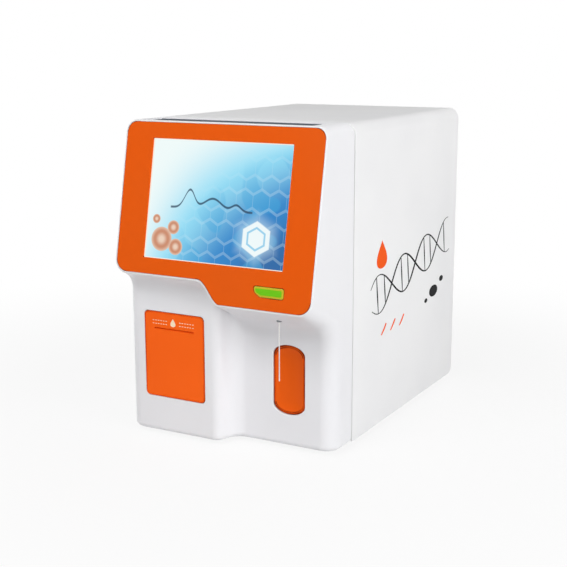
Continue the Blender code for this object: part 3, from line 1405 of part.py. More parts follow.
def make_power_inlet():
    z = BASE_Z + INLET_RISE
    inlet, face = framed_socket(
        "power_inlet",
        INLET_X,
        z,
        INLET_WIDTH,
        INLET_HEIGHT,
        INLET_FLANGE_MARGIN,
        INLET_FLANGE_THICKNESS,
        INLET_DEPTH,
        BLACK,
    )
    floor = face - INLET_DEPTH
    half_width = INLET_WIDTH / 2 - INLET_WALL
    half_height = INLET_HEIGHT / 2 - INLET_WALL
    mouth = box(
        "inlet_mouth",
        (INLET_X - half_width, floor, z - half_height),
        (INLET_X + half_width, face + OVERRUN, z + half_height),
    )
    cut(inlet, mouth)
    blades = []
    for index in (-1, 0, 1):
        x = INLET_X + index * INLET_BLADE_SPACING
        blade_z = z + (INLET_BLADE_WIDTH / 2 if index == 0 else 0.0)
        low = (x - INLET_BLADE_THICKNESS / 2, floor - INLET_WALL / 4, blade_z - INLET_BLADE_WIDTH / 2)
        high = (x + INLET_BLADE_THICKNESS / 2, face - INLET_WALL, blade_z + INLET_BLADE_WIDTH / 2)
        blades.append(box("inlet_blade_" + str(index + 2), low, high))
    join(inlet, *blades)


def make_power_switch():
    z = BASE_Z + INLET_RISE
    housing, face = framed_socket(
        "switch_housing",
        ROCKER_X,
        z,
        ROCKER_WIDTH + 2 * ROCKER_WALL,
        ROCKER_HEIGHT + 2 * ROCKER_WALL,
        ROCKER_FLANGE_MARGIN,
        ROCKER_WALL,
        ROCKER_DEPTH + 2 * ROCKER_WALL,
        BLACK,
    )
    half_width = ROCKER_WIDTH / 2
    half_height = ROCKER_HEIGHT / 2
    well = box(
        "rocker_well",
        (ROCKER_X - half_width, face - ROCKER_DEPTH, z - half_height),
        (ROCKER_X + half_width, face + OVERRUN, z + half_height),
    )
    cut(housing, well)
    pivot_y = face - ROCKER_PIVOT_DEPTH
    throw = math.radians(ROCKER_THROW)
    radius = half_height - 2 * RUNNING_GAP
    outline = []
    for step in range(9):
        angle = math.pi + math.pi * step / 8
        outline.append((radius * math.cos(angle), radius * math.sin(angle) * ROCKER_DEPTH / ROCKER_HEIGHT))
    crown = ROCKER_PIVOT_DEPTH / 2
    outline += [(radius, crown), (0.0, crown / 2), (-radius, crown)]
    turn = Matrix(((0, 0, 1, 0), (0, 1, 0, 0), (-1, 0, 0, 0), (0, 0, 0, 1)))
    place = Matrix.Translation((ROCKER_X, pivot_y, z)) @ turn
    width = ROCKER_WIDTH - 2 * RUNNING_GAP
    rocker = sheet("power_rocker", [outline], place, width, BLACK)
    rocker.matrix_world = place @ Matrix.Rotation(throw, 4, "Z")
    on_axis("power_rocker_axis", (ROCKER_X, pivot_y, z), [rocker])


def make_interface_ports():
    z = BASE_Z + PORT_BLOCK_RISE
    face = REAR_PANEL_Y + REAR_PANEL_THICKNESS + SEAT_GAP
    half = PORT_BLOCK_WIDTH / 2
    block = box(
        "interface_ports",
        (PORT_BLOCK_X - half, face - PORT_BLOCK_DEPTH, z - PORT_BLOCK_HEIGHT / 2),
        (PORT_BLOCK_X + half, face, z + PORT_BLOCK_HEIGHT / 2),
        BLACK,
    )
    net_x = PORT_BLOCK_X - half / 2
    bus_x = PORT_BLOCK_X + half / 3
    quarter = PORT_BLOCK_HEIGHT / 4
    sockets = (
        ("net_socket", net_x, z, NET_SOCKET_SIDE, NET_SOCKET_SIDE),
        ("bus_socket_low", bus_x, z - quarter, BUS_SOCKET_WIDTH, BUS_SOCKET_HEIGHT),
        ("bus_socket_high", bus_x, z + quarter, BUS_SOCKET_WIDTH, BUS_SOCKET_HEIGHT),
    )
    for name, x, middle, width, height in sockets:
        low = (x - width / 2, face - PORT_SOCKET_DEPTH, middle - height / 2)
        high = (x + width / 2, face + OVERRUN, middle + height / 2)
        cut(block, box(name, low, high))


def make_reagent_ports():
    """Four barbed fittings through the rear panel, one for each bottle."""
    face = REAR_PANEL_Y + REAR_PANEL_THICKNESS + SEAT_GAP
    flange = REAGENT_FLANGE_THICKNESS
    barb = (REAGENT_OUTSIDE - flange) / 2
    profile = [
        (REAGENT_BORE_RADIUS, REAGENT_OUTSIDE),
        (REAGENT_TUBE_RADIUS, REAGENT_OUTSIDE),
        (REAGENT_BARB_RADIUS, REAGENT_OUTSIDE - barb),
        (REAGENT_TUBE_RADIUS, REAGENT_OUTSIDE - barb),
        (REAGENT_TUBE_RADIUS, flange),
        (REAGENT_FLANGE_RADIUS, flange),
        (REAGENT_FLANGE_RADIUS, 0.0),
        (REAGENT_BODY_RADIUS, 0.0),
        (REAGENT_BODY_RADIUS, -REAGENT_INSIDE),
        (REAGENT_BORE_RADIUS, -REAGENT_INSIDE),
    ]
    for index, word in enumerate(REAGENT_NAMES):
        place = (reagent_x(index), face, BASE_Z + REAGENT_RISE)
        turned(word + "_port", profile, place, "Y", BRASS, 20, closed=True)


def make_baths():
    """Two clear counting chambers that hang by their rims in a bracket on the chassis wall."""
    top = BASE_Z + BATH_RISE
    inner = BATH_RADIUS - BATH_WALL
    depth = BATH_HEIGHT
    profile = [
        (inner, BATH_FLANGE_THICKNESS),
        (BATH_FLANGE_RADIUS, BATH_FLANGE_THICKNESS),
        (BATH_FLANGE_RADIUS, 0.0),
        (BATH_RADIUS, 0.0),
        (BATH_RADIUS, -depth * 2 / 3),
        (BATH_DRAIN_RADIUS, -depth),
        (0.0, -depth),
        (0.0, -depth + 2 * BATH_WALL),
        (inner, -depth * 2 / 3 + BATH_WALL),
    ]
    y = CHASSIS_BACK_Y + SEAT_GAP + BATH_HOLDER_DEPTH / 2
    for name, x in zip(BATH_NAMES, BATH_X):
        turned(name, profile, (x, y, top + SEAT_GAP), "Z", CLEAR, 24, closed=True)
    middle = (BATH_X[0] + BATH_X[1]) / 2
    width = BATH_X[1] - BATH_X[0] + 2 * BATH_FLANGE_RADIUS + 2 * BATH_HOLDER_MARGIN
    outlines = [rectangle(width, BATH_HOLDER_DEPTH, BATH_HOLDER_MARGIN, 3, middle, y)]
    for x in BATH_X:
        outlines.append(circle(BATH_RADIUS + SEAT_GAP, 24, x, y))
    place = placed("XY", z=top - BATH_HOLDER_THICKNESS / 2)
    sheet("bath_holder", outlines, place, BATH_HOLDER_THICKNESS, ALUMINIUM)


def make_syringes():
    """A dosing drive: two glass barrels whose pistons hang from one crosshead on a screw."""
    wall = SYRINGE_FRAME_THICKNESS
    low = BASE_Z + SYRINGE_RISE
    y = CHASSIS_BACK_Y + SEAT_GAP + SYRINGE_OFFSET_Y
    crosshead_z = low + wall + RUNNING_GAP
    barrel_z = crosshead_z + CROSSHEAD_HEIGHT + SYRINGE_STROKE + SYRINGE_PISTON_LENGTH
    top = barrel_z + wall
    back = CHASSIS_BACK_Y + SEAT_GAP
    frame_outline = [
        (back, low),
        (back + SYRINGE_FLANGE_DEPTH, low),
        (back + SYRINGE_FLANGE_DEPTH, low + wall),
        (back + wall, low + wall),
        (back + wall, barrel_z),
        (back + SYRINGE_FLANGE_DEPTH, barrel_z),
        (back + SYRINGE_FLANGE_DEPTH, top),
        (back, top),
    ]
    frame = sheet("syringe_frame", [frame_outline], placed("YZ", SYRINGE_X), SYRINGE_FRAME_WIDTH, ALUMINIUM)
    spots = (SYRINGE_X - SYRINGE_PITCH, SYRINGE_X + SYRINGE_PITCH)
    words = ("diluent_syringe", "lyse_syringe")
    drive = []
    for word, x, radius in zip(words, spots, SYRINGE_BARREL_RADII):
        inner = radius - SYRINGE_BARREL_WALL
        length = SYRINGE_BARREL_LENGTH
        start = (x, y, top + SEAT_GAP)
        profile = [
            (SYRINGE_BARREL_WALL / 2, length + SYRINGE_NOZZLE_LENGTH),
            (SYRINGE_NOZZLE_RADIUS, length + SYRINGE_NOZZLE_LENGTH),
            (SYRINGE_NOZZLE_RADIUS, length),
            (radius, length),
            (radius, 0.0),
            (inner, 0.0),
            (inner, length - SYRINGE_BARREL_WALL),
            (SYRINGE_BARREL_WALL / 2, length - SYRINGE_BARREL_WALL),
        ]
        turned(word + "_barrel", profile, start, "Z", CLEAR, 24, closed=True)
        hole = SYRINGE_ROD_RADIUS + RUNNING_GAP
        cut(frame, rod(word + "_hole", (x, y, barrel_z - OVERRUN), "Z", hole, 2 * OVERRUN, sides=20))
        piston_z = top + SEAT_GAP + RUNNING_GAP
        bottom = crosshead_z + CROSSHEAD_HEIGHT + SEAT_GAP
        piston = inner - SEAT_GAP
        rod_profile = [
            (0.0, piston_z + SYRINGE_PISTON_LENGTH),
            (piston, piston_z + SYRINGE_PISTON_LENGTH),
            (piston, piston_z),
            (SYRINGE_ROD_RADIUS, piston_z),
            (SYRINGE_ROD_RADIUS, bottom),
            (0.0, bottom),
        ]
        drive.append(turned(word + "_plunger", rod_profile, (x, y, 0.0), "Z", GREY, 20))
    half = SYRINGE_FRAME_WIDTH / 2 - RUNNING_GAP
    crosshead = box(
        "syringe_crosshead",
        (SYRINGE_X - half, y - CROSSHEAD_DEPTH / 2, crosshead_z),
        (SYRINGE_X + half, y + CROSSHEAD_DEPTH / 2, crosshead_z + CROSSHEAD_HEIGHT),
        ALUMINIUM,
    )
    bore = SYRINGE_SCREW_RADIUS + RUNNING_GAP
    cut(crosshead, rod("crosshead_bore", (SYRINGE_X, y, low), "Z", bore, 3 * OVERRUN, sides=20))
    on_axis("syringe_drive_slide", (SYRINGE_X, y, crosshead_z), drive + [crosshead])
    screw = rod("syringe_screw", (SYRINGE_X, y, low), "Z", SYRINGE_SCREW_RADIUS, top - low, STEEL, 20)
    on_axis("syringe_screw_axis", (SYRINGE_X, y, low), [screw])
    hole = SYRINGE_SCREW_RADIUS + SEAT_GAP
    start = (SYRINGE_X, y, low - OVERRUN)
    cut(frame, rod("syringe_screw_bore", start, "Z", hole, top - low + 2 * OVERRUN, sides=20))
    side = SYRINGE_MOTOR_SIDE / 2
    motor = box(
        "syringe_motor",
        (SYRINGE_X - side, y - side, low - SEAT_GAP - SYRINGE_MOTOR_HEIGHT),
        (SYRINGE_X + side, y + side, low - SEAT_GAP),
        BLACK,
    )
    bevel(motor, MOTOR_EDGE_RADIUS, 1)


def make_valves():
    """A manifold block with a row of solenoid valves."""
    back = CHASSIS_BACK_Y + SEAT_GAP
    z = BASE_Z + VALVE_RISE
    half = VALVE_PITCH * VALVE_COUNT / 2 + MANIFOLD_MARGIN
    bank = box(
        "valve_bank",
        (VALVE_X - half, back, z - MANIFOLD_HEIGHT / 2),
        (VALVE_X + half, back + MANIFOLD_DEPTH, z + MANIFOLD_HEIGHT / 2),
        GREY,
    )
    for index in range(VALVE_COUNT):
        x = VALVE_X + (index - (VALVE_COUNT - 1) / 2) * VALVE_PITCH
        start = (x, back + MANIFOLD_DEPTH / 2, z)
        length = VALVE_LENGTH + MANIFOLD_DEPTH / 2
        join(bank, rod("valve_" + str(index + 1), start, "Y", VALVE_RADIUS, length, sides=16))


def make_sampling_valve():
    """The valve that measures out the sample: a fixed body and a disc that turns on it."""
    back = CHASSIS_BACK_Y + SEAT_GAP
    z = BASE_Z + SAMPLING_RISE
    half = SAMPLING_SIDE / 2
    face = back + SAMPLING_DEPTH
    body = box(
        "sampling_valve_body",
        (SAMPLING_X - half, back, z - half),
        (SAMPLING_X + half, face, z + half),
        GREY,
    )
    bevel(body, MOTOR_EDGE_RADIUS, 1)
    bore = SAMPLING_SHAFT_RADIUS + SEAT_GAP
    start = (SAMPLING_X, face - SAMPLING_SHAFT_LENGTH - SEAT_GAP, z)
    cut(body, rod("valve_bore", start, "Y", bore, SAMPLING_SHAFT_LENGTH + OVERRUN, sides=20))
    profile = [
        (0.0, SEAT_GAP + SAMPLING_ROTOR_DEPTH),
        (SAMPLING_ROTOR_RADIUS, SEAT_GAP + SAMPLING_ROTOR_DEPTH),
        (SAMPLING_ROTOR_RADIUS, SEAT_GAP),
        (SAMPLING_SHAFT_RADIUS, SEAT_GAP),
        (SAMPLING_SHAFT_RADIUS, -SAMPLING_SHAFT_LENGTH),
        (0.0, -SAMPLING_SHAFT_LENGTH),
    ]
    rotor = turned("sampling_valve_rotor", profile, (SAMPLING_X, face, z), "Y", STEEL, 24)
    lever_y = face + SEAT_GAP + SAMPLING_ROTOR_DEPTH / 2
    lever_half = SAMPLING_LEVER_WIDTH / 2
    lever = box(
        "valve_lever",
        (SAMPLING_X - lever_half, lever_y - lever_half / 2, z),
        (SAMPLING_X + lever_half, lever_y + lever_half / 2, z + SAMPLING_LEVER_LENGTH),
    )
    join(rotor, lever)
    on_axis("sampling_valve_axis", (SAMPLING_X, face, z), [rotor])


def make_waste_chamber():
    floor = BASE_TOP_Z + SEAT_GAP
    height = CHAMBER_HEIGHT
    neck = height + CHAMBER_NECK_HEIGHT
    profile = [
        (0.0, neck),
        (CHAMBER_NECK_RADIUS, neck),
        (CHAMBER_NECK_RADIUS, height),
        (CHAMBER_RADIUS - CHAMBER_SHOULDER, height),
        (CHAMBER_RADIUS, height - CHAMBER_SHOULDER),
        (CHAMBER_RADIUS, 0.0),
        (0.0, 0.0),
    ]
    turned("vacuum_chamber", profile, (CHAMBER_X, CHAMBER_Y, floor), "Z", CLEAR, 24)


def make_pump():
    """A peristaltic pump: an open ring body with a motor behind and three rollers that orbit in it."""
    z = BASE_TOP_Z + SEAT_GAP + PUMP_SIDE / 2
    half = PUMP_SIDE / 2
    front = PUMP_Y - PUMP_DEPTH
    body = box("pump_body", (PUMP_X - half, front, z - half), (PUMP_X + half, PUMP_Y, z + half), GREY)
    ring = PUMP_ROLLER_ORBIT + PUMP_ROLLER_RADIUS + RUNNING_GAP
    floor = PUMP_Y - PUMP_FLOOR
    well = rod("pump_well", (PUMP_X, front - OVERRUN, z), "Y", ring, floor - front + OVERRUN, sides=28)
    boss_start = (PUMP_X, floor - PUMP_BOSS_HEIGHT, z)
    boss = rod("pump_boss", boss_start, "Y", PUMP_BOSS_RADIUS, PUMP_BOSS_HEIGHT + PUMP_FLOOR / 2, sides=16)
    motor_start = (PUMP_X, PUMP_Y - PUMP_FLOOR / 2, z)
    motor = rod("pump_motor_can", motor_start, "Y", PUMP_MOTOR_RADIUS, PUMP_MOTOR_LENGTH, sides=24)
    cut(body, well)
    join(body, boss, motor)
    depth = floor - front - 2 * RUNNING_GAP
    inner = PUMP_BOSS_RADIUS + RUNNING_GAP
    reach = PUMP_BOSS_HEIGHT
    profile = [
        (0.0, depth),
        (PUMP_ROTOR_RADIUS, depth),
        (PUMP_ROTOR_RADIUS, 0.0),
        (inner, 0.0),
        (inner, reach),
        (0.0, reach),
    ]
    place = (PUMP_X, floor - RUNNING_GAP, z)
    rotor = turned("pump_rotor", profile, place, "Y", ORANGE, 24)
    rotor.matrix_world = Matrix.Translation(place) @ Matrix.Rotation(math.radians(90), 4, "X")
    for index in range(PUMP_ROLLER_COUNT):
        angle = 2 * math.pi * index / PUMP_ROLLER_COUNT
        x = PUMP_X + PUMP_ROLLER_ORBIT * math.cos(angle)
        roller_z = z + PUMP_ROLLER_ORBIT * math.sin(angle)
        start = (x, floor - RUNNING_GAP - depth, roller_z)
        join(rotor, rod("pump_roller_" + str(index + 1), start, "Y", PUMP_ROLLER_RADIUS, depth, sides=14))
    on_axis("pump_axis", place, [rotor])


def make_power_supply():
    floor = BASE_TOP_Z + SEAT_GAP
    supply = box(
        "power_supply",
        (SUPPLY_X - SUPPLY_WIDTH / 2, SUPPLY_Y - SUPPLY_DEPTH / 2, floor),
        (SUPPLY_X + SUPPLY_WIDTH / 2, SUPPLY_Y + SUPPLY_DEPTH / 2, floor + SUPPLY_HEIGHT),
        SHEET,
    )
    bevel(supply, SUPPLY_EDGE_RADIUS, 1)
    top = floor + SUPPLY_HEIGHT
    for index in range(SUPPLY_SLOT_COUNT):
        y = SUPPLY_Y + (index - (SUPPLY_SLOT_COUNT - 1) / 2) * SUPPLY_SLOT_PITCH
        low = (SUPPLY_X - SUPPLY_SLOT_LENGTH / 2, y - SUPPLY_SLOT_WIDTH / 2, top - SUPPLY_SLOT_DEPTH)
        high = (SUPPLY_X + SUPPLY_SLOT_LENGTH / 2, y + SUPPLY_SLOT_WIDTH / 2, top + OVERRUN)
        cut(supply, box("supply_slot_" + str(index + 1), low, high))


def make_main_board():
    """The controller board, upright along the left side, with its front edge at the chassis wall."""
    outer = -BODY_WIDTH / 2 + COVER_WALL + BOARD_TAB_LENGTH
    front = CHASSIS_BACK_Y + SEAT_GAP
    low = BASE_Z + BOARD_RISE
    board = box(
        "main_board",
        (outer, front, low),
        (outer + BOARD_THICKNESS, front + BOARD_LENGTH, low + BOARD_HEIGHT),
        BOARD_GREEN,
    )
    for index, (along, up, length, height) in enumerate(BOARD_CHIP_SHARES):
        y = front + along * BOARD_LENGTH
        z = low + up * BOARD_HEIGHT
        rise = BOARD_CHIP_HEIGHT if index < 3 else BOARD_SOCKET_HEIGHT
        half_length = length * BOARD_LENGTH / 2
        half_height = height * BOARD_HEIGHT / 2
        low_corner = (outer + BOARD_THICKNESS / 2, y - half_length, z - half_height)
        high_corner = (outer + BOARD_THICKNESS + rise, y + half_length, z + half_height)
        join(board, box("board_part_" + str(index + 1), low_corner, high_corner))


make_front_fascia()
make_cover_shell()
make_display()
make_printer()
make_start_key()
make_probe_lift()
make_base_plate()
make_feet()
make_chassis_wall()
make_rear_panel()
make_fan()
make_power_inlet()
make_power_switch()
make_interface_ports()
make_reagent_ports()
make_baths()
make_syringes()
make_valves()
make_sampling_valve()
make_waste_chamber()
make_pump()
make_power_supply()
make_main_board()
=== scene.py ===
# %% [markdown]
# # A bench-top blood cell analyzer
# The solids of this machine are already built and packed: a leaning screen in an orange bezel, a printer
# behind a hinged door, a start key and a probe in the sample bay, and the works inside. This lesson
# dresses them. The solids come first, as a frame to fit each piece to.

import json
import math

import bmesh
import bpy
import numpy as np
from mathutils import Matrix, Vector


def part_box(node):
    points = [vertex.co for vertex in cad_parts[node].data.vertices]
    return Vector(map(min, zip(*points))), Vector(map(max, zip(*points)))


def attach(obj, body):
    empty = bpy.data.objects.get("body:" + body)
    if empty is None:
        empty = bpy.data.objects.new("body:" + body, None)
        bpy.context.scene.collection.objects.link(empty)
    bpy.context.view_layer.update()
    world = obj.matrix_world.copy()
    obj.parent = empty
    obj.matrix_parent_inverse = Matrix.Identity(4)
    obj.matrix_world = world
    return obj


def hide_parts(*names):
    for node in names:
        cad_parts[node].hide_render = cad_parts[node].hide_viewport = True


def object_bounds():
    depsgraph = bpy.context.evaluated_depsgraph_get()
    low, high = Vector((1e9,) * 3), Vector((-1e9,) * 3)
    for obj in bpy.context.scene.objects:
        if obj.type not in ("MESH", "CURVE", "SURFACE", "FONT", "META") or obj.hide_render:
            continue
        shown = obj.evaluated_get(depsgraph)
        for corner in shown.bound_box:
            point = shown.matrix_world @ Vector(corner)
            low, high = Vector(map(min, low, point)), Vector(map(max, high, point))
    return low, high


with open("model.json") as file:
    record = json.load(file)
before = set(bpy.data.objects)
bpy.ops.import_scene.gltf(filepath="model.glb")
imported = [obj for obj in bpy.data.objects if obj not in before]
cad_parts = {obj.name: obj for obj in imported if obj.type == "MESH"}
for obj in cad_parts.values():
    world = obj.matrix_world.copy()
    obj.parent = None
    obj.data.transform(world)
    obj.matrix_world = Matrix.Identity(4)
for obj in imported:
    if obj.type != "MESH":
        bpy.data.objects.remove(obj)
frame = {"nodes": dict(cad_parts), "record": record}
nodes = frame["nodes"]
scene = bpy.context.scene
CAD_LOW, CAD_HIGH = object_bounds()
print("nodes:", len(nodes), "size in mm:", [round(1000 * side, 1) for side in CAD_HIGH - CAD_LOW])

# %% [markdown]
# ## The camera
# The photograph looks at the front from the right and a little above, from about 1.6 m away. The camera
# was worked out from the picture's edges: its right, up and backward directions are the columns of its
# turn, so the uprights lean as they do in the photograph.

# %% Place the camera
CAMERA_SPOT = (0.7597, -1.4195, 0.5322)
CAMERA_RIGHT = (0.87531, 0.48355, -0.00181)
CAMERA_UP = (-0.10014, 0.18492, 0.97764)
CAMERA_FORWARD = (-0.47307, 0.85556, -0.21028)
LENS_MM, SENSOR_MM = 70.35, 36.0


def put(made, **settings):
    """Sets named settings on whatever was made, and gives it back."""
    for key, value in settings.items():
        setattr(made, key, value)
    return made


def add_object(name, data):
    """A new object that shows the data, linked into the scene."""
    made = bpy.data.objects.new(name, data)
    scene.collection.objects.link(made)
    return made


camera_data = put(bpy.data.cameras.new("portrait_camera"), lens=LENS_MM, sensor_width=SENSOR_MM)
camera = add_object("portrait_camera", camera_data)
camera_turn = Matrix((CAMERA_RIGHT, CAMERA_UP, [-part for part in CAMERA_FORWARD])).transposed()
camera.matrix_world = Matrix.Translation(CAMERA_SPOT) @ camera_turn.to_4x4()
scene.camera = camera
print("camera:", [round(part, 3) for part in camera.location])

# %% [markdown]
# ## Nodes without the clutter
# Graphs of nodes are long to write out. A few helpers keep the rest short: they fill a node's sockets, do
# a sum, mix two colours, or step smoothly from one value to another.

# %% Helpers for material graphs
def fill(tree, node, values):
    """Links a value that is a socket to the node's input, and sets any other on it."""
    for key, value in values.items():
        if isinstance(value, bpy.types.NodeSocket):
            tree.links.new(value, node.inputs[key])
        else:
            node.inputs[key].default_value = value
    return node


def add_node(tree, kind, values=None, **settings):
    """A shader node with these settings and these values in its sockets."""
    return fill(tree, put(tree.nodes.new("ShaderNode" + kind), **settings), values or {})


def new_material(name, values):
    """A material, its node tree, and its Principled shader with these values."""
    material = bpy.data.materials.new(name)
    material.use_nodes = True
    tree = material.node_tree
    return material, tree, fill(tree, tree.nodes["Principled BSDF"], values)


def sum_of(tree, operation, first, second=0.0, third=0.0):
    """One Math node: the operation on up to three values."""
    values = {0: first, 1: second, 2: third}
    return add_node(tree, "Math", values, operation=operation, use_clamp=False).outputs[0]


def mix_of(tree, amount, first, second, how="MIX"):
    """The Mix node's sockets 0, 6 and 7 are the amount and the two colours, and 2 is the mixed colour."""
    settings = {"data_type": "RGBA", "blend_type": how}
    return add_node(tree, "Mix", {0: amount, 6: first, 7: second}, **settings).outputs[2]


def ramp_of(tree, value, low, high, start=0.0, end=1.0):
    """A smooth step: start below low, end above high."""
    values = {"Value": value, "From Min": low, "From Max": high, "To Min": start, "To Max": end}
    return add_node(tree, "MapRange", values, interpolation_type="SMOOTHSTEP").outputs[0]


def noise_of(tree, place, scale, detail=2.0):
    """Smooth noise from 0 to 1. The scale is the number of lumps in a metre."""
    return add_node(tree, "TexNoise", {"Vector": place, "Scale": scale, "Detail": detail}).outputs[0]


def place_of(tree):
    """The place on the object in metres, where all noise is looked up."""
    return add_node(tree, "TexCoord").outputs["Object"]


def new_group(name, inputs):
    """A node group that gives colour, roughness and height. Its inputs are (name, kind, value)."""
    tree = bpy.data.node_groups.new(name, "ShaderNodeTree")
    for label, kind, value in inputs:
        socket = tree.interface.new_socket(label, in_out="INPUT", socket_type="NodeSocket" + kind)
        socket.default_value = value
    for label, kind in (("Colour", "Color"), ("Roughness", "Float"), ("Height", "Float")):
        tree.interface.new_socket(label, in_out="OUTPUT", socket_type="NodeSocket" + kind)
    return tree, tree.nodes.new("NodeGroupInput").outputs, tree.nodes.new("NodeGroupOutput")


def srgb(*tones):
    """Tones from 0 to 255 as seen on a screen, turned into the linear values that shaders take."""
    return tuple(((tone / 255 + 0.055) / 1.055) ** 2.4 for tone in tones)


print("node helpers ready")

# %% [markdown]
# ## The studio
# The object stood in an empty white studio. The light is soft, strongest on the right and weakest from
# above, so each side has its own softbox and the world adds a little all round. Floor and world show
# white to the camera and in reflections, while the light that they give stays modest, so white plastic
# doesn't burn out. The floor grows whiter with its distance: it keeps a shadow near the object and meets
# the world without a line.

# %% Light the studio
WORLD_LIGHT = 0.16
FLOOR_HALF, FLOOR_TONE = 6.0, 0.8
NEAR_WHITENESS, NEAR, FAR = 0.86, 0.30, 1.10
FULL_WHITE = (1.0, 1.0, 1.0, 1.0)
LAMPS = (
    ("side_softbox", (2.3, -0.7, 0.9), 1.7, 40.0),
    ("front_softbox", (-0.4, -2.0, 2.1), 1.3, 37.0),
    ("left_softbox", (-2.3, -0.3, 0.8), 1.5, 9.0),
    ("rear_softbox", (0.0, 2.6, 0.7), 1.2, 16.0),
)


def backdrop_mask(tree):
    """1 for rays that show the background: from the camera, in a reflection or through glass."""
    path = add_node(tree, "LightPath").outputs
    seen = sum_of(tree, "MAXIMUM", path["Is Camera Ray"], path["Is Glossy Ray"])
    return sum_of(tree, "MAXIMUM", seen, path["Is Transmission Ray"])


world = bpy.data.worlds.new("white_studio")
world.use_nodes = True
sky = world.node_tree
light = add_node(sky, "MapRange", {"Value": backdrop_mask(sky), "To Min": WORLD_LIGHT}).outputs[0]
fill(sky, sky.nodes["Background"], {"Color": FULL_WHITE, "Strength": light})
scene.world = world

aim = (CAD_LOW + CAD_HIGH) / 2
for name, spot, size, power in LAMPS:
    softbox = add_object(name, put(bpy.data.lights.new(name, "AREA"), size=size, energy=power))
    softbox.location = spot
    softbox.rotation_euler = (aim - softbox.location).to_track_quat("-Z", "Y").to_euler()

floor_mesh = bpy.data.meshes.new("studio_floor")
corners = [(x * FLOOR_HALF, y * FLOOR_HALF, 0) for x, y in ((-1, -1), (1, -1), (1, 1), (-1, 1))]
floor_mesh.from_pydata(corners, [], [(0, 1, 2, 3)])
floor = add_object("studio_floor", floor_mesh)
floor_values = {"Base Color": (FLOOR_TONE, FLOOR_TONE, FLOOR_TONE, 1.0), "Roughness": 1.0}
floor_paint, tree, matt = new_material("studio_white", floor_values)
glow = add_node(tree, "Emission", {"Color": FULL_WHITE, "Strength": 1.0})
away = add_node(tree, "VectorMath", {0: place_of(tree)}, operation="LENGTH").outputs["Value"]
whiteness = ramp_of(tree, away, NEAR, FAR, NEAR_WHITENESS)
whiteness = sum_of(tree, "MULTIPLY", backdrop_mask(tree), whiteness)
both = add_node(tree, "MixShader", {0: whiteness, 1: matt.outputs[0], 2: glow.outputs[0]})
fill(tree, tree.nodes["Material Output"], {"Surface": both.outputs[0]})
floor_mesh.materials.append(floor_paint)
scene.view_settings.view_transform = "Standard"
print("lamps:", len(LAMPS))

# %% [markdown]
# ## One skin for everything moulded or painted
# A moulded part is never one flat colour. Its tone drifts, the tool left a fine grain, the gloss is
# cloudy, and edges are rubbed smoother. The edges' colour is part wear and part painted light: a painted
# highlight makes the whites paler there and painted shade makes the oranges darker. Drift and grain are
# noise on Object coordinates, and the edges come from an attribute named bend, worked out later for each
# mesh. The group gives colour, roughness and height, and the shader stays in the material.

# %% The skin group
skin_inputs = (
    ("Colour", "Color", (0.8, 0.8, 0.8, 1.0)),
    ("Far colour", "Color", (0.7, 0.7, 0.7, 1.0)),
    ("Edge wear and light colour", "Color", (1.0, 1.0, 1.0, 1.0)),
    ("Grain", "Float", 1800.0),
    ("Gloss", "Float", 0.35),
    ("Clouds", "Float", 0.05),
    ("Bend", "Float", 0.0),
    ("Edge wear and light", "Float", 0.3),
)
skin, given, gives = new_group("moulded_skin", skin_inputs)
DRIFT_SCALE, CLOUD_SCALE, RUB_POLISH = 6.0, 38.0, -0.2
place = place_of(skin)
drift = noise_of(skin, place, DRIFT_SCALE)
cloud = noise_of(skin, place, CLOUD_SCALE, 3.0)
fine = noise_of(skin, place, given["Grain"], 1.0)
drifted = mix_of(skin, ramp_of(skin, drift, 0.35, 0.75), given["Colour"], given["Far colour"])
# The edges' colour: wear, plus a painted highlight on the whites and painted shade on the oranges.
edge_wear_and_light_mask = sum_of(skin, "MULTIPLY", given["Bend"], given["Edge wear and light"])
patchy_edge_wear_and_light = sum_of(skin, "MULTIPLY", edge_wear_and_light_mask, ramp_of(skin, cloud, 0.2, 0.8))
edge_wear_and_light_colour = mix_of(skin, patchy_edge_wear_and_light, drifted, given["Edge wear and light colour"])
clouded = sum_of(skin, "MULTIPLY_ADD", sum_of(skin, "SUBTRACT", cloud, 0.5), given["Clouds"], given["Gloss"])
polished = sum_of(skin, "MULTIPLY_ADD", patchy_edge_wear_and_light, RUB_POLISH, clouded)
fill(skin, gives, {"Colour": edge_wear_and_light_colour, "Roughness": polished, "Height": fine})
print("group:", skin.name)

# %% [markdown]
# ## Plastics and paints
# Each finish is the same skin with its own numbers: the warm white of the front, the rougher white paint
# of the cover, the orange of bezel, door and key, and the dark plastics and rubbers. One function with
# named values makes them all.

# %% Make the skins
def wear(tree, shader, group_tree, values, relief):
    """Gives the shader a group's colour, roughness, and height as a bump of that relief in metres."""
    given = add_node(tree, "Group", values, node_tree=group_tree).outputs
    bump = add_node(tree, "Bump", {"Height": given["Height"], "Distance": relief, "Strength": 1.0})
    values = {"Base Color": given["Colour"], "Roughness": given["Roughness"], "Normal": bump.outputs[0]}
    fill(tree, shader, values)


def skinned(name, colour, far, edge_wear_and_light_colour, gloss, grain=1800.0, relief=0.00002, coat=0.0, edge_wear_and_light=0.3, shine=0.5):
    """A Principled material on the skin group."""
    plain = {"IOR": 1.46, "Specular IOR Level": shine, "Coat Weight": coat, "Coat Roughness": 0.12}
    material, tree, shader = new_material(name, plain)
    values = {"Bend": add_node(tree, "Attribute", attribute_name="bend").outputs["Fac"]}
    values.update({"Colour": (*colour, 1.0), "Far colour": (*far, 1.0), "Edge wear and light colour": (*edge_wear_and_light_colour, 1.0)})
    values.update({"Grain": grain, "Gloss": gloss, "Edge wear and light": edge_wear_and_light})
    wear(tree, shader, skin, values, relief)
    return material
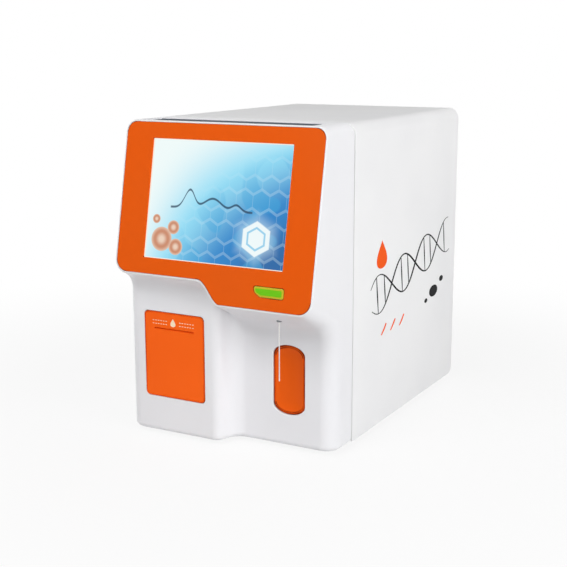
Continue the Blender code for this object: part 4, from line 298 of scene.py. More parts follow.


# The whites' paler edge colour is partly wear and partly a painted highlight along their edges.
WHITE = skinned(
    "warm_white", (0.82, 0.82, 0.84), (0.80, 0.80, 0.825), (0.90, 0.90, 0.89), 0.34, coat=0.1, edge_wear_and_light=0.8
)
COVER = skinned(
    "cover_paint", (0.86, 0.86, 0.865), (0.83, 0.83, 0.84), (0.92, 0.92, 0.92), 0.55, 1300.0, 0.00004,
    shine=0.28,
)
PANEL_PAINT = skinned(
    "panel_paint", (0.74, 0.74, 0.76), (0.70, 0.70, 0.72), (0.85, 0.85, 0.85), 0.48, 1300.0, 0.00005
)
# The oranges' dark brown edge colour is painted shade along their edges.
ORANGE = skinned(
    "orange_plastic", (0.80, 0.102, 0.002), (0.78, 0.106, 0.005), (0.26, 0.024, 0.001), 0.42, edge_wear_and_light=1.6,
    shine=0.1,
)
DOOR = skinned(
    "door_orange", (1.0, 0.136, 0.008), (0.97, 0.124, 0.006), (0.30, 0.028, 0.001), 0.45, edge_wear_and_light=1.6,
    shine=0.1,
)
BLACK = skinned("black_plastic", (0.022, 0.022, 0.024), (0.03, 0.03, 0.03), (0.09, 0.09, 0.09), 0.46, 1500.0)
GREY = skinned("grey_plastic", (0.26, 0.27, 0.29), (0.22, 0.23, 0.25), (0.45, 0.45, 0.46), 0.48, 1500.0)
RUBBER = skinned(
    "black_rubber", (0.018, 0.018, 0.018), (0.026, 0.026, 0.026), (0.05, 0.05, 0.05), 0.8, 900.0, 0.00008
)
PAPER = skinned(
    "thermal_paper", (0.86, 0.86, 0.84), (0.82, 0.82, 0.80), (0.9, 0.9, 0.9), 0.75, 2400.0, 0.00003
)
BOARD = skinned(
    "circuit_board", (0.015, 0.16, 0.06), (0.01, 0.11, 0.04), (0.05, 0.3, 0.12), 0.4, 700.0, 0.00003
)
print("skins made")

# %% [markdown]
# ## Metals
# Sheet and bar show fine lines along the way they were rolled or turned: noise, stretched far along one
# axis. The stretch is an input, so a standing bar and a flat plate use the same group.

# %% The metal group and the metals
metal_inputs = (
    ("Colour", "Color", (0.6, 0.6, 0.6, 1.0)),
    ("Stretch", "Vector", (1.0, 1.0, 1.0)),
    ("Gloss", "Float", 0.3),
)
lines, given, gives = new_group("rolled_lines", metal_inputs)
place = place_of(lines)
stretched = add_node(lines, "VectorMath", {0: place, 1: given["Stretch"]}, operation="MULTIPLY").outputs[0]
streak = noise_of(lines, stretched, 1.0, 3.0)
stain = noise_of(lines, place, 25.0, 3.0)
dull = mix_of(lines, 1.0, given["Colour"], (0.80, 0.80, 0.82, 1.0), "MULTIPLY")
stained = mix_of(lines, ramp_of(lines, stain, 0.4, 0.8), given["Colour"], dull)
uneven = sum_of(lines, "MULTIPLY_ADD", sum_of(lines, "SUBTRACT", streak, 0.5), 0.25, given["Gloss"])
fill(lines, gives, {"Colour": stained, "Roughness": uneven, "Height": streak})


def metallic(name, colour, gloss, stretch, relief=0.00001):
    """A Principled metal on the group of rolled lines."""
    material, tree, shader = new_material(name, {"Metallic": 1.0})
    values = {"Colour": (*colour, 1.0), "Stretch": stretch, "Gloss": gloss}
    wear(tree, shader, lines, values, relief)
    return material


UPRIGHT_LINES = (1500.0, 1500.0, 20.0)
LEVEL_LINES = (20.0, 1500.0, 1500.0)
STEEL = metallic("stainless_steel", (0.68, 0.68, 0.70), 0.24, UPRIGHT_LINES)
ALUMINIUM = metallic("aluminium", (0.72, 0.73, 0.75), 0.38, LEVEL_LINES)
PROBE = metallic("polished_steel", (0.84, 0.82, 0.80), 0.20, UPRIGHT_LINES)
SHEET = metallic("plated_sheet", (0.60, 0.61, 0.62), 0.42, LEVEL_LINES)
BRASS = metallic("brass", (0.66, 0.45, 0.16), 0.30, UPRIGHT_LINES)
print("metals made")

# %% [markdown]
# ## Clear plastic
# Counting chambers, syringes and waste chamber are clear acrylic: glass with a lower index. Transmission
# stays a plain number, and only the roughness changes over the surface.

# %% The clear plastic
clear_values = {"Base Color": (0.90, 0.94, 0.95, 1.0), "IOR": 1.49, "Transmission Weight": 0.9}
CLEAR, tree, shader = new_material("clear_acrylic", clear_values)
polish = noise_of(tree, place_of(tree), 60.0, 3.0)
fill(tree, shader, {"Roughness": ramp_of(tree, polish, 0.3, 0.7, 0.06, 0.16)})
print("clear plastic made")

# %% [markdown]
# ## Dress the solids
# Most of the works keep their solids and only need the finish of their real material. The record names a
# material slot for every node, so one table dresses them all.

# %% Give every node its finish
FINISHES = {
    "white_plastic": WHITE, "cover_paint": COVER, "panel_paint": PANEL_PAINT, "orange_plastic": ORANGE,
    "screen_glass": BLACK, "green_lens": CLEAR, "stainless_steel": STEEL, "aluminium": ALUMINIUM,
    "plated_sheet": SHEET, "black_plastic": BLACK, "grey_plastic": GREY, "black_rubber": RUBBER,
    "paper": PAPER, "circuit_board": BOARD, "clear_acrylic": CLEAR, "brass": BRASS,
}
for part in frame["record"]["subparts"]:
    mesh = nodes[part["node"]].data
    mesh.materials.clear()
    mesh.materials.append(PROBE if part["node"] == "sample_probe" else FINISHES[part["material_slot"]])

# %% [markdown]
# ## Surfaces from numbers
# Round shapes need more faces than the solids have, and subdividing these would pinch. So the surfaces
# are worked out again with numpy: a corner is an arc, an edge is a soft bend, and a grid of points
# becomes four-sided faces.

# %% Helpers for paths and grids
def unit(vectors):
    """Each vector divided by its own length."""
    return vectors / np.linalg.norm(vectors, axis=-1, keepdims=True)


def corner_arc(before, corner, after, radius, steps=16):
    """The arc that rounds a corner: centre + (first sin((1-t)a) + last sin(ta)) / sin(a), t from 0 to 1."""
    before, corner, after = (np.asarray(spot, float) for spot in (before, corner, after))
    back, ahead = unit(before - corner), unit(after - corner)
    angle = math.pi - math.acos(float(back @ ahead))
    reach = radius * math.tan(angle / 2)
    centre = corner + unit(back + ahead) * radius / math.cos(angle / 2)
    first, last = corner + back * reach - centre, corner + ahead * reach - centre
    t = np.linspace(0, 1, steps + 1)[:, None]
    return centre + (first * np.sin((1 - t) * angle) + last * np.sin(t * angle)) / math.sin(angle)


def round_corners(corners, radius, steps=8):
    """A closed outline: each corner of a polygon gives way to its arc."""
    trios = zip(np.roll(corners, 1, 0), np.asarray(corners, float), np.roll(corners, -1, 0))
    return np.vstack([corner_arc(*trio, radius, steps) for trio in trios])


def round_box(width, height, radius, steps=8, x=0.0, y=0.0):
    """A rectangle round (x, y) with its four corners rounded."""
    signs = np.array([(-1, -1), (1, -1), (1, 1), (-1, 1)], float)
    return round_corners(signs * (width / 2, height / 2) + (x, y), radius, steps)


def curves(start, corner, end, steps):
    """Start (1-t)^2 + corner 2t(1-t) + end t^2, for a whole row of corners at once."""
    t = np.linspace(0, 1, steps + 1)[None, :, None]
    return start[:, None] * (1 - t) ** 2 + corner[:, None] * 2 * t * (1 - t) + end[:, None] * t ** 2


def soft_bend(before, corner, after, reach, steps):
    """Each corner gives way to a curve that starts and ends at the reach from it."""
    reach = np.broadcast_to(reach, corner.shape[:1])[:, None]
    start, end = corner + unit(before - corner) * reach, corner + unit(after - corner) * reach
    return curves(start, corner, end, steps)


def left_normals(path, closed=False):
    """The mean direction of the two steps at each point, turned a quarter turn to the left."""
    steps = unit(np.roll(path, -1, 0) - path) if closed else unit(np.diff(path, axis=0))
    before = np.roll(steps, 1, 0) if closed else np.vstack([steps[:1], steps])
    after = steps if closed else np.vstack([steps, steps[-1:]])
    ahead = unit(before + after)
    return np.stack([-ahead[:, 1], ahead[:, 0]], 1)


def between(start, end, steps):
    """Points between two ends, without the ends."""
    return np.linspace(start, end, steps + 1)[1:-1]


def grid_faces(index):
    """Four-sided faces of a grid of point numbers: each number with its neighbours."""
    corners = [index[:-1, :-1], index[1:, :-1], index[1:, 1:], index[:-1, 1:]]
    return np.stack(corners, -1).reshape(-1, 4).tolist()


def numbered(rows, columns, start=0):
    """The point numbers of a grid, row by row."""
    return start + np.arange(rows * columns).reshape(rows, columns)


def tube_faces(number):
    """The faces of a stack of closed rings, and its first and last ring as flat ends."""
    return grid_faces(np.c_[number, number[:, :1]]) + [number[0].tolist(), number[-1].tolist()]


def placed(points, frame_of):
    """Points of a frame in world coordinates."""
    return points @ frame_of[:3, :3].T + frame_of[:3, 3]


def quarter_turn(count):
    """Even angles from 0 to a quarter turn, with both ends."""
    return np.linspace(0, math.pi / 2, count)


def full_turn(count):
    """Even angles round a circle. The last is one step short of the first."""
    return np.linspace(0, 2 * math.pi, count, endpoint=False)


print("an arc of 90 degrees:", corner_arc((0, 1), (0, 0), (1, 0), 0.5, 2).round(3).tolist())

# %% [markdown]
# ## From points to a finished piece
# Points and faces become a closed mesh, cutters take out holes, edges are softened, and large faces keep
# their flat shading. Each point then gets its bend: how sharply the surface turns outward there, which
# the materials read to mark the edges with wear and with painted light.

# %% Helpers that make pieces
BEND_RADIUS = 0.0009
LARGE_FACE = 0.00002


def solid(name, points, faces, material=None):
    """A closed mesh object at the origin, with doubles merged and faces outward."""
    mesh = bpy.data.meshes.new(name)
    mesh.from_pydata(np.asarray(points).reshape(-1, 3).tolist(), [], faces)
    form = bmesh.new()
    form.from_mesh(mesh)
    bmesh.ops.remove_doubles(form, verts=form.verts, dist=1e-7)
    bmesh.ops.recalc_face_normals(form, faces=form.faces)
    if form.calc_volume(signed=True) < 0:
        bmesh.ops.reverse_faces(form, faces=form.faces)
    form.to_mesh(mesh)
    form.free()
    piece = add_object(name, mesh)
    if material:
        mesh.materials.append(material)
    return piece


def bake(piece):
    """Puts what the modifiers make into the piece's own mesh."""
    bpy.context.view_layer.update()
    made = piece.evaluated_get(bpy.context.evaluated_depsgraph_get())
    mesh = bpy.data.meshes.new_from_object(made)
    piece.modifiers.clear()
    piece.data = mesh
    return mesh


def carve(piece, *cutters, operation="DIFFERENCE"):
    """Takes the cutters out of the piece, or joins them to it with UNION, and removes them."""
    for cutter in cutters:
        step = piece.modifiers.new("carve", "BOOLEAN")
        put(step, operation=operation, solver="EXACT", object=cutter)
    bake(piece)
    for cutter in cutters:
        bpy.data.objects.remove(cutter, do_unlink=True)
    return piece


def read(items, key, width=1, kind=float):
    """One value, or a row of them, for each vertex, edge, face or corner."""
    values = np.empty(width * len(items), kind)
    items.foreach_get(key, values)
    return values.reshape(-1, width) if width > 1 else values


def mark_bends(mesh):
    """bend = (n2 - n1).(p2 - p1) / |p2 - p1|^2 times a radius, the largest round a point of small faces."""
    spots, normals = read(mesh.vertices, "co", 3), read(mesh.vertex_normals, "vector", 3)
    one, two = read(mesh.edges, "vertices", 2, np.int32).T
    along = spots[two] - spots[one]
    length = np.maximum((along ** 2).sum(1), 1e-12)
    turning = ((normals[two] - normals[one]) * along).sum(1) / length * BEND_RADIUS
    bend = np.zeros(len(spots))
    np.maximum.at(bend, one, turning)
    np.maximum.at(bend, two, turning)
    area = np.repeat(read(mesh.polygons, "area"), read(mesh.polygons, "loop_total", 1, np.int32))
    shown = np.clip(bend, 0, 1)[read(mesh.loops, "vertex_index", 1, np.int32)] * (area < LARGE_FACE)
    mesh.attributes.new("bend", "FLOAT", "CORNER").data.foreach_set("value", shown.astype(np.float32))


def settle(piece, stands_for=(), body="case", edge=0.0, sharp=35, segments=2):
    """Softens the edges, shades, marks the bends, and lets the piece ride on its body."""
    if edge:
        rounding = piece.modifiers.new("edge", "BEVEL")
        put(rounding, width=edge, segments=segments, limit_method="ANGLE", angle_limit=math.radians(sharp))
        bake(piece)
    piece.data.shade_smooth()
    piece.data.set_sharp_from_angle(angle=math.radians(sharp))
    mark_bends(piece.data)
    put(piece.modifiers.new("flat", "WEIGHTED_NORMAL"), keep_sharp=True)
    bake(piece).name = piece.name
    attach(piece, body)
    if stands_for:
        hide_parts(*stands_for)
    print(piece.name, "faces:", len(piece.data.polygons))
    return piece


def prism(name, outlines, frame_of, low, high, material=None):
    """Flat outlines carried from a low to a high level of a frame's third axis."""
    points, faces, start = [], [], 0
    for outline in outlines if isinstance(outlines, list) else [outlines]:
        count = len(outline)
        points += [np.c_[outline, np.full(count, height)] for height in (low, high)]
        faces += tube_faces(numbered(2, count, start))
        start += 2 * count
    return solid(name, placed(np.vstack(points), frame_of), faces, material)


def stack(name, outlines, heights, frame_of, material=None):
    """Outlines with equally many points, each at its own height along a frame's third axis."""
    pairs = zip(outlines, heights)
    rings = np.stack([np.c_[outline, np.full(len(outline), height)] for outline, height in pairs])
    return solid(name, placed(rings, frame_of), tube_faces(numbered(*rings.shape[:2])), material)


def tunnel(name, section, along, depth, material=None):
    """Round each point of an (x, z) path runs a closed loop: moved in by each depth, at each y of along."""
    spots = section[:, None] + left_normals(section)[:, None] * depth[None, :, None]
    along = np.broadcast_to(along, spots.shape[:2])
    points = np.stack([spots[..., 0], along, spots[..., 1]], -1)
    return solid(name, points, tube_faces(numbered(*along.shape)), material)


def turned(name, profile, centre, axis, steps, material=None, ring_like=False):
    """A profile of (radius, height) spun round an axis: (r cos a, r sin a, h) at each angle a."""
    radius, height = np.array(profile, float).T
    angle = full_turn(steps)
    parts = [np.outer(np.cos(angle), radius), np.outer(np.sin(angle), radius), np.tile(height, (steps, 1))]
    order = {"X": (2, 0, 1), "Y": (1, 2, 0), "Z": (0, 1, 2)}[axis]
    points = np.stack([parts[index] for index in order], -1) + np.asarray(centre, float)
    ring = numbered(*points.shape[:2])
    ring = np.c_[ring, ring[:, :1]] if ring_like else ring
    return solid(name, points, grid_faces(np.vstack([ring, ring[:1]])), material)


print("piece helpers ready")

# %% [markdown]
# ## The measures of the front
# The front is one moulding: a panel that leans back under the screen, a chin that sweeps in under it, a
# printer column on the left and a shallower bay on the right. Its limits are read from the solids. The
# rest are the design's own sizes in metres, the same as in the solids.

# %% Measures of the front
FASCIA_LOW, FASCIA_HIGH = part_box("front_fascia")
COVER_LOW, COVER_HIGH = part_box("cover_shell")
HALF_WIDTH, BASE_Z, TOP_Z = FASCIA_HIGH.x, FASCIA_LOW.z, FASCIA_HIGH.z
SEAM_Y = FASCIA_HIGH.y
FASCIA_WALL = 0.004
LEAN, CHIN = math.radians(11.2), math.radians(26)
LEAN_SIN, LEAN_COS = math.sin(LEAN), math.cos(LEAN)
PANEL_RIM = 0.0016
SCREEN_BOTTOM = 0.2509
SCREEN_WIDTH, SCREEN_HEIGHT = 0.2112, 0.1584
PANEL_TOP = SCREEN_HEIGHT + 0.02366
DROP_LEFT, DROP_RIGHT = 0.024, 0.0535
BAY_Y = SEAM_Y - 0.054
COLUMN_Y = BAY_Y - 0.0325
COLUMN_SIDE_X = 0.1450 - HALF_WIDTH
BAY_SIDE_X = COLUMN_SIDE_X + 0.0100
DROP_START_X = COLUMN_SIDE_X - 0.0125
DROP_END_X = DROP_START_X + 0.036
LEFT_CORNER, RIGHT_CORNER = 0.018, 0.022
COLUMN_CORNER, BAY_CORNER = 0.014, 0.021
PANEL_CORNER, TOP_CORNER = 0.019, 0.016
CHIN_SWEEP = 0.0215
RIM_STEPS = 6
RIM_REACH = 0.8 * PANEL_RIM
PANEL_FOOT_Y = FASCIA_LOW.y - RIM_REACH * LEAN_SIN


def panel_spots(x, rise, depth=0.0):
    """Points of the leaning face: x across, rise up the slope and depth into it."""
    y = PANEL_FOOT_Y + (rise + DROP_RIGHT) * LEAN_SIN + depth * LEAN_COS
    z = BASE_Z + SCREEN_BOTTOM + rise * LEAN_COS - depth * LEAN_SIN
    return np.stack(np.broadcast_arrays(x, y, z), -1)


def panel_y(z, depth):
    """Where a level line meets the face, or a plane behind it."""
    rise = (z - BASE_Z - SCREEN_BOTTOM + depth * LEAN_SIN) / LEAN_COS
    return panel_spots(0.0, rise, depth)[..., 1]


def drop_at(x):
    """How far the panel hangs below the screen: from left to right by the smooth step s^2 (3 - 2s)."""
    s = np.clip((x - DROP_START_X) / (DROP_END_X - DROP_START_X), 0, 1)
    return DROP_LEFT + (DROP_RIGHT - DROP_LEFT) * s * s * (3 - 2 * s)


def frame_matrix(across, up, out, origin):
    """A 4x4 matrix whose columns are a frame's three axes and its origin."""
    matrix = np.eye(4)
    matrix[:3, 0], matrix[:3, 1], matrix[:3, 2], matrix[:3, 3] = across, up, out, origin
    return matrix


PANEL = frame_matrix((1, 0, 0), (0, LEAN_SIN, LEAN_COS), (0, -LEAN_COS, LEAN_SIN), panel_spots(0.0, 0.0))


def upright(y):
    """A frame for outlines in x and z whose third axis points out of the front."""
    return frame_matrix((1, 0, 0), (0, 0, 1), (0, -1, 0), (0, y, 0))


def level(z):
    """A frame for outlines in x and y whose third axis points up."""
    return frame_matrix((1, 0, 0), (0, 1, 0), (0, 0, 1), (0, 0, z))


COLUMN = upright(COLUMN_Y)
print("panel foot at y", round(PANEL_FOOT_Y, 4), "top at", round(float(panel_y(TOP_Z, 0.0)), 4))

# %% [markdown]
# ## The front moulding
# Each point of the outline, seen from above, has a path: from the panel's lower edge, round a small rim,
# back under the chin and in a wide sweep down the wall. The hood's rim closes it above, and the same
# loft, drawn in by the wall's thickness, hollows it.

# %% Loft the front
def front_form(name, inset, rim, seam_y, floor_z, toe, seam_round, steps, material=None):
    """Paths under every point of the plan, a rim over the hood, and flat ends at the floor and seam."""
    half = HALF_WIDTH - inset
    column_y, bay_y = COLUMN_Y + inset, BAY_Y + inset
    slope = (BAY_SIDE_X - COLUMN_SIDE_X) / (BAY_Y - COLUMN_Y)

    def side_x(y):
        """The column's side, where x grows by the slope. The inset is measured square to it."""
        return COLUMN_SIDE_X + (y - COLUMN_Y) * slope - inset * math.sqrt(1 + slope * slope)

    corners = [(-half, SEAM_Y), (-half, column_y), (side_x(column_y), column_y), (side_x(bay_y), bay_y)]
    corners += [(half, bay_y), (half, SEAM_Y)]
    radii = (LEFT_CORNER - inset, COLUMN_CORNER - inset, BAY_CORNER + inset, RIGHT_CORNER - inset)
    arcs = [corner_arc(*corners[index:index + 3], radii[index], steps) for index in range(4)]
    runs = [between(first[-1], second[0], 10) for first, second in zip(arcs, arcs[1:])]
    middle = np.vstack([runs[0], arcs[1], runs[1], arcs[2], runs[2]])
    plan = np.vstack([arcs[0], middle, arcs[3]])
    radius = PANEL_CORNER - inset
    left = corner_arc((-half, PANEL_TOP), (-half, -DROP_LEFT), (0, -DROP_LEFT), radius, steps)
    right = corner_arc((0, -DROP_RIGHT), (half, -DROP_RIGHT), (half, PANEL_TOP), radius, steps)
    edge = np.vstack([left, np.c_[middle[:, 0], -drop_at(middle[:, 0])], right])
    setback = inset / (1 + math.sin(CHIN - LEAN))
    shift = (0.0, (LEAN_COS + math.sin(CHIN)) * setback, (math.cos(CHIN) - LEAN_SIN) * setback)
    lip = panel_spots(edge[:, 0], edge[:, 1]) + shift
    into = left_normals(edge)
    rise = np.c_[into[:, 0], into[:, 1] * LEAN_SIN, into[:, 1] * LEAN_COS]
    run = np.linalg.norm(plan - lip[:, :2], axis=1)
    throat = np.c_[plan, lip[:, 2] - run * math.tan(CHIN)]
    ground = np.c_[plan, np.full(len(plan), floor_z)]
    under = ground + np.c_[left_normals(plan), np.zeros(len(plan))]
    room = 0.9 * (np.linalg.norm(throat - lip, axis=1) - rim)
    bends = [soft_bend(lip + rise, lip, throat, rim, RIM_STEPS)]
    bends.append(soft_bend(lip, throat, ground, np.minimum(CHIN_SWEEP, room), steps))
    bends.append(soft_bend(throat, ground, under, toe, 5))
    columns = np.concatenate(bends, axis=1)

    top, radius = TOP_Z - inset, TOP_CORNER - inset
    left = corner_arc((-half, BASE_Z), (-half, top), (0, top), radius, steps)
    right = corner_arc((0, top), (half, top), (half, BASE_Z), radius, steps)
    section = np.vstack([left, between(left[-1], right[0], 12), right])
    inner = section - left_normals(section) * rim
    face = np.c_[inner[:, 0], panel_y(inner[:, 1], inset), inner[:, 1]]
    crest = np.c_[section[:, 0], panel_y(section[:, 1], inset), section[:, 1]]
    ring = curves(face, crest, crest + (0, rim, 0), RIM_STEPS)

    number = numbered(*columns.shape[:2])
    ring_number = numbered(*ring.shape[:2], number.size)
    points = np.vstack([columns.reshape(-1, 3), ring.reshape(-1, 3)])
    shared = RIM_STEPS + 1
    rim_loop = np.vstack([number[:1, :shared], ring_number, number[-1:, :shared]])
    side = np.concatenate([number[0, RIM_STEPS:][::-1], ring_number[:, -1], number[-1, RIM_STEPS:]])
    flat = points[side][:, [0, 2]]
    angle = quarter_turn(5)
    rows = []
    for y, drawn in zip(seam_y - seam_round + seam_round * np.sin(angle), seam_round * (1 - np.cos(angle))):
        moved = flat - left_normals(flat) * drawn
        rows.append(np.c_[moved[:, 0], np.full(len(side), y), moved[:, 1]])
    rows = rows if seam_round else rows[:1]
    seam = numbered(len(rows), len(side), len(points))
    points = np.vstack([points, *rows])
    faces = grid_faces(number) + grid_faces(rim_loop) + grid_faces(np.vstack([side, seam]))
    faces.append(ring_number[:, 0].tolist() + number[::-1, 0].tolist())
    faces.append(number[:, -1].tolist() + [int(seam[0, -1]), int(seam[0, 0])])
    faces += [[int(spot) for spot in (a[0], a[-1], b[-1], b[0])] for a, b in zip(seam, seam[1:])]
    faces.append(seam[-1].tolist())
    return solid(name, points, faces, material)


fascia = front_form("front_moulding", 0.0, PANEL_RIM, SEAM_Y, BASE_Z, 0.008, 0.0014, 14, WHITE)
hollow = front_form("hollow", FASCIA_WALL, 0.001, SEAM_Y + 0.01, BASE_Z - 0.01, 0.001, 0.0, 8)
print("front:", len(fascia.data.vertices), "points")

# %% [markdown]
# ## Openings in the front
# A pocket for the bezel, windows for screen and lamp, the holes for door, key and probe, and a tray in
# the hood's top are each a cutter, with the same clearances as in the solids.

# %% Cut the openings
DOOR_WIDTH, DOOR_HEIGHT, DOOR_CORNER, DOOR_GAP = 0.0955, 0.1196, 0.0055, 0.0008
DOOR_X, DOOR_Z = 0.0281 + DOOR_WIDTH / 2 - HALF_WIDTH, BASE_Z + 0.0514
KEY_X, KEY_Z = HALF_WIDTH - 0.0672, BASE_Z + 0.092
KEY_WIDTH, KEY_HEIGHT, KEY_CORNER, KEY_GAP = 0.047, 0.095, 0.0225, 0.0005
KEY_END_SHARE = 0.62
PROBE_X, PROBE_Y = KEY_X, BAY_Y - 0.0255
BEZEL_INSET, BEZEL_THICKNESS = 0.0024, 0.0018
LENS_X, LENS_RISE = HALF_WIDTH - 0.0635, -0.0282
LENS_WIDTH, LENS_HEIGHT, LENS_CORNER = 0.0445, 0.0131, 0.003
LENS_SHARES = ((-1.0, 1.0), (-0.86, -0.20), (-0.52, -0.97), (1.0, -1.0), (1.0, 1.0))
TRAY_LENGTH, TRAY_DEPTH, TRAY_SIDE, TRAY_MARGIN = 0.044, 0.0016, 0.0235, 0.0025
FIT, PANE_CORNER, PANE_MARGIN = 0.0003, 0.0012, 0.005
THROUGH = 0.01


def key_outline(grow, steps=24):
    """A stadium's outline, drawn longer first and then pressed together to ends of shallow arcs."""
    tall = (KEY_HEIGHT + 2 * grow) / KEY_END_SHARE
    outline = round_box(KEY_WIDTH + 2 * grow, tall, KEY_CORNER + grow, steps)
    return outline * (1, KEY_END_SHARE) + (KEY_X, KEY_Z)


def panel_outline(inset):
    """The edge of the panel's face, counter-clockwise, each point moved inward along its normal."""
    half = HALF_WIDTH
    low_left = corner_arc((-half, PANEL_TOP), (-half, -DROP_LEFT), (0, -DROP_LEFT), PANEL_CORNER, 20)
    x = np.linspace(DROP_START_X - 0.002, DROP_END_X + 0.002, 41)
    low_right = corner_arc((0, -DROP_RIGHT), (half, -DROP_RIGHT), (half, PANEL_TOP), PANEL_CORNER, 20)
    top_right = corner_arc((half, -DROP_RIGHT), (half, PANEL_TOP), (0, PANEL_TOP), TOP_CORNER, 20)
    top_left = corner_arc((0, PANEL_TOP), (-half, PANEL_TOP), (-half, -DROP_LEFT), TOP_CORNER, 20)
    path = np.vstack([low_left, np.c_[x, -drop_at(x)], low_right, top_right, top_left])
    return path + left_normals(path, closed=True) * inset


def lens_outline(grow):
    """Corners at shares of half the window's width and height, then rounded."""
    half = np.array([LENS_WIDTH / 2 + grow, LENS_HEIGHT / 2 + grow])
    corner = min(LENS_CORNER, LENS_CORNER + grow / 2)
    return round_corners(np.array(LENS_SHARES) * half + (LENS_X, LENS_RISE), corner, 6)


def screen_outline(margin):
    """The screen's rectangle, standing on the frame's origin and grown by the margin."""
    width, height = SCREEN_WIDTH + 2 * margin, SCREEN_HEIGHT + 2 * margin
    return round_box(width, height, PANE_CORNER, 5, y=SCREEN_HEIGHT / 2)


tray_y = float(panel_y(TOP_Z, 0.0)) + TRAY_MARGIN + TRAY_LENGTH / 2
tray_outline = round_box(2 * (HALF_WIDTH - TRAY_SIDE), TRAY_LENGTH, 0.002, 5, y=tray_y)


def door_outline(grow):
    """The door's rectangle, standing on its lower edge and grown on each side."""
    width, height = DOOR_WIDTH + 2 * grow, DOOR_HEIGHT + 2 * grow
    return round_box(width, height, DOOR_CORNER + grow, 8, DOOR_X, DOOR_Z + DOOR_HEIGHT / 2)


def round_mouth(name, outline_of, gap, front, radius=0.0009):
    """A cutter that flares at the front, grown by r (1 - sin a) at the depth r (1 - cos a)."""
    angle = quarter_turn(6)
    grown = gap + np.concatenate([[radius], radius * (1 - np.sin(angle)), [0.0]])
    heights = np.concatenate([[THROUGH], -radius * (1 - np.cos(angle)), [-THROUGH]])
    return stack(name, [outline_of(grow) for grow in grown], heights, upright(front))


door_mouth = round_mouth("door_mouth", door_outline, DOOR_GAP, COLUMN_Y)
key_mouth = round_mouth("key_mouth", key_outline, KEY_GAP, BAY_Y)
probe_hole = [(0.0, 0.06), (0.0038, 0.06), (0.0038, -0.03), (0.0, -0.03)]
HINGE_Y, HINGE_Z, BARREL = COLUMN_Y + 0.0033, DOOR_Z + 0.0090, 0.0031
EAR_OUT, EAR_SIZE = DOOR_WIDTH / 2 + DOOR_GAP + 0.00125, (0.0031, 0.0068)
pockets = [
    prism("ear_pocket", round_box(*EAR_SIZE, 0.0002, 1, DOOR_X + side * EAR_OUT, HINGE_Z),
          COLUMN, -THROUGH, -0.0007)
    for side in (-1, 1)
]
carve(
    fascia,
    hollow,
    prism("pocket", panel_outline(BEZEL_INSET - FIT), PANEL, -BEZEL_THICKNESS - FIT, THROUGH),
    prism("window", screen_outline(PANE_MARGIN + FIT), PANEL, -THROUGH, 0.0),
    prism("lamp_hole", lens_outline(FIT), PANEL, -THROUGH, 0.0),
    door_mouth,
    key_mouth,
    turned("probe_cut", probe_hole, (PROBE_X, PROBE_Y, 0.17), "Z", 32),
    prism("tray", tray_outline, level(TOP_Z), -TRAY_DEPTH, THROUGH),
    *pockets,
)
settle(fascia, ["front_fascia"], edge=0.0005, sharp=40)

# %% [markdown]
# ## The sheet cover
# Top and sides are one sheet, bent over the body like a tunnel. Its section is a path with arcs, and
# round every point of the path runs a small closed loop: along the outside, round the rear lip, back
# along the inside and round the front lip.

# %% Bend the cover
COVER_WALL, COVER_LIP, REAR_CORNER = 0.0025, 0.0008, 0.010
PRINT_HEIGHT = 0.00008


def tunnel_section(inset, steps=16):
    """Up the right side, round over the top and down the left, with close rows where the rear corner is."""
    half, top = HALF_WIDTH - inset, TOP_Z - inset
    rise = BASE_Z + REAR_CORNER * (1 - np.cos(quarter_turn(9)))
    right = corner_arc((half, rise[-1]), (half, top), (0, top), TOP_CORNER - inset, steps)
    up = np.vstack([np.c_[np.full(len(rise), half), rise], between((half, rise[-1]), right[0], 16), right])
    return np.vstack([up, between(right[-1], right[-1] * (-1, 1), 14), up[::-1] * (-1, 1)])


def cover_form():
    """The loop's rear end follows the corner: y = rear - r + sqrt(r^2 - h^2), h the height below it."""
    section = tunnel_section(PRINT_HEIGHT)
    below = np.maximum(BASE_Z + REAR_CORNER - section[:, 1], 0.0)
    level_run = np.sqrt(np.maximum(REAR_CORNER ** 2 - below ** 2, 0.0))
    rear = (COVER_HIGH.y - REAR_CORNER + level_run)[:, None]
    angle = quarter_turn(5)
    fall, turn_in = COVER_LIP * (1 - np.sin(angle)), COVER_LIP * (1 - np.cos(angle))
    forward = np.linspace(0, 1, 24)[1:-1]
    side = (rear - COVER_LIP) * forward + (COVER_LOW.y + COVER_LIP) * (1 - forward)
    front = np.tile(COVER_LOW.y + np.concatenate([fall, turn_in]), (len(section), 1))
    along = np.hstack([rear - fall, rear - turn_in, front, side])
    inner = COVER_WALL - PRINT_HEIGHT
    depth = np.concatenate([turn_in, inner - fall, inner - turn_in, fall, np.zeros(len(forward))])
    return tunnel("bent_cover", section, along, depth, COVER)


settle(cover_form(), ["cover_shell"])

# %% [markdown]
# ## The seam
# Front and cover don't touch. A pale rubber cord in the gap keeps dust out and hides what would be a hard
# black line.

# %% Lay the cord in the seam
SEAL = skinned("seam_rubber", srgb(232, 231, 228), srgb(226, 225, 222), srgb(238, 237, 235), 0.7, 900.0)
CORD_Y, CORD_DEPTH = SEAM_Y + 0.0011, 0.0019
HALF_GIRTH, HALF_HEIGHT = 0.0006, 0.0008
around = full_turn(12)
along, depth = CORD_Y - HALF_GIRTH * np.cos(around), CORD_DEPTH + HALF_HEIGHT * np.sin(around)
settle(tunnel("seam_cord", tunnel_section(0.0, 12)[4:-4], along, depth, SEAL), sharp=60)

# %% [markdown]
# ## The bezel
# The bezel is an orange plate with the outline of the panel's face, set in by the white rim's width.
# Paint would do, but a plate that lies flush in its pocket gives the fine shadow round it.

# %% Cut the bezel
bezel = prism("orange_bezel", panel_outline(BEZEL_INSET), PANEL, -BEZEL_THICKNESS, 0.0, ORANGE)
carve(
    bezel,
    prism("screen_cut", screen_outline(0.0), PANEL, -THROUGH, THROUGH),
    prism("lens_cut", lens_outline(FIT), PANEL, -THROUGH, THROUGH),
)
settle(bezel, ["display_bezel"], edge=0.0012, sharp=30, segments=3)

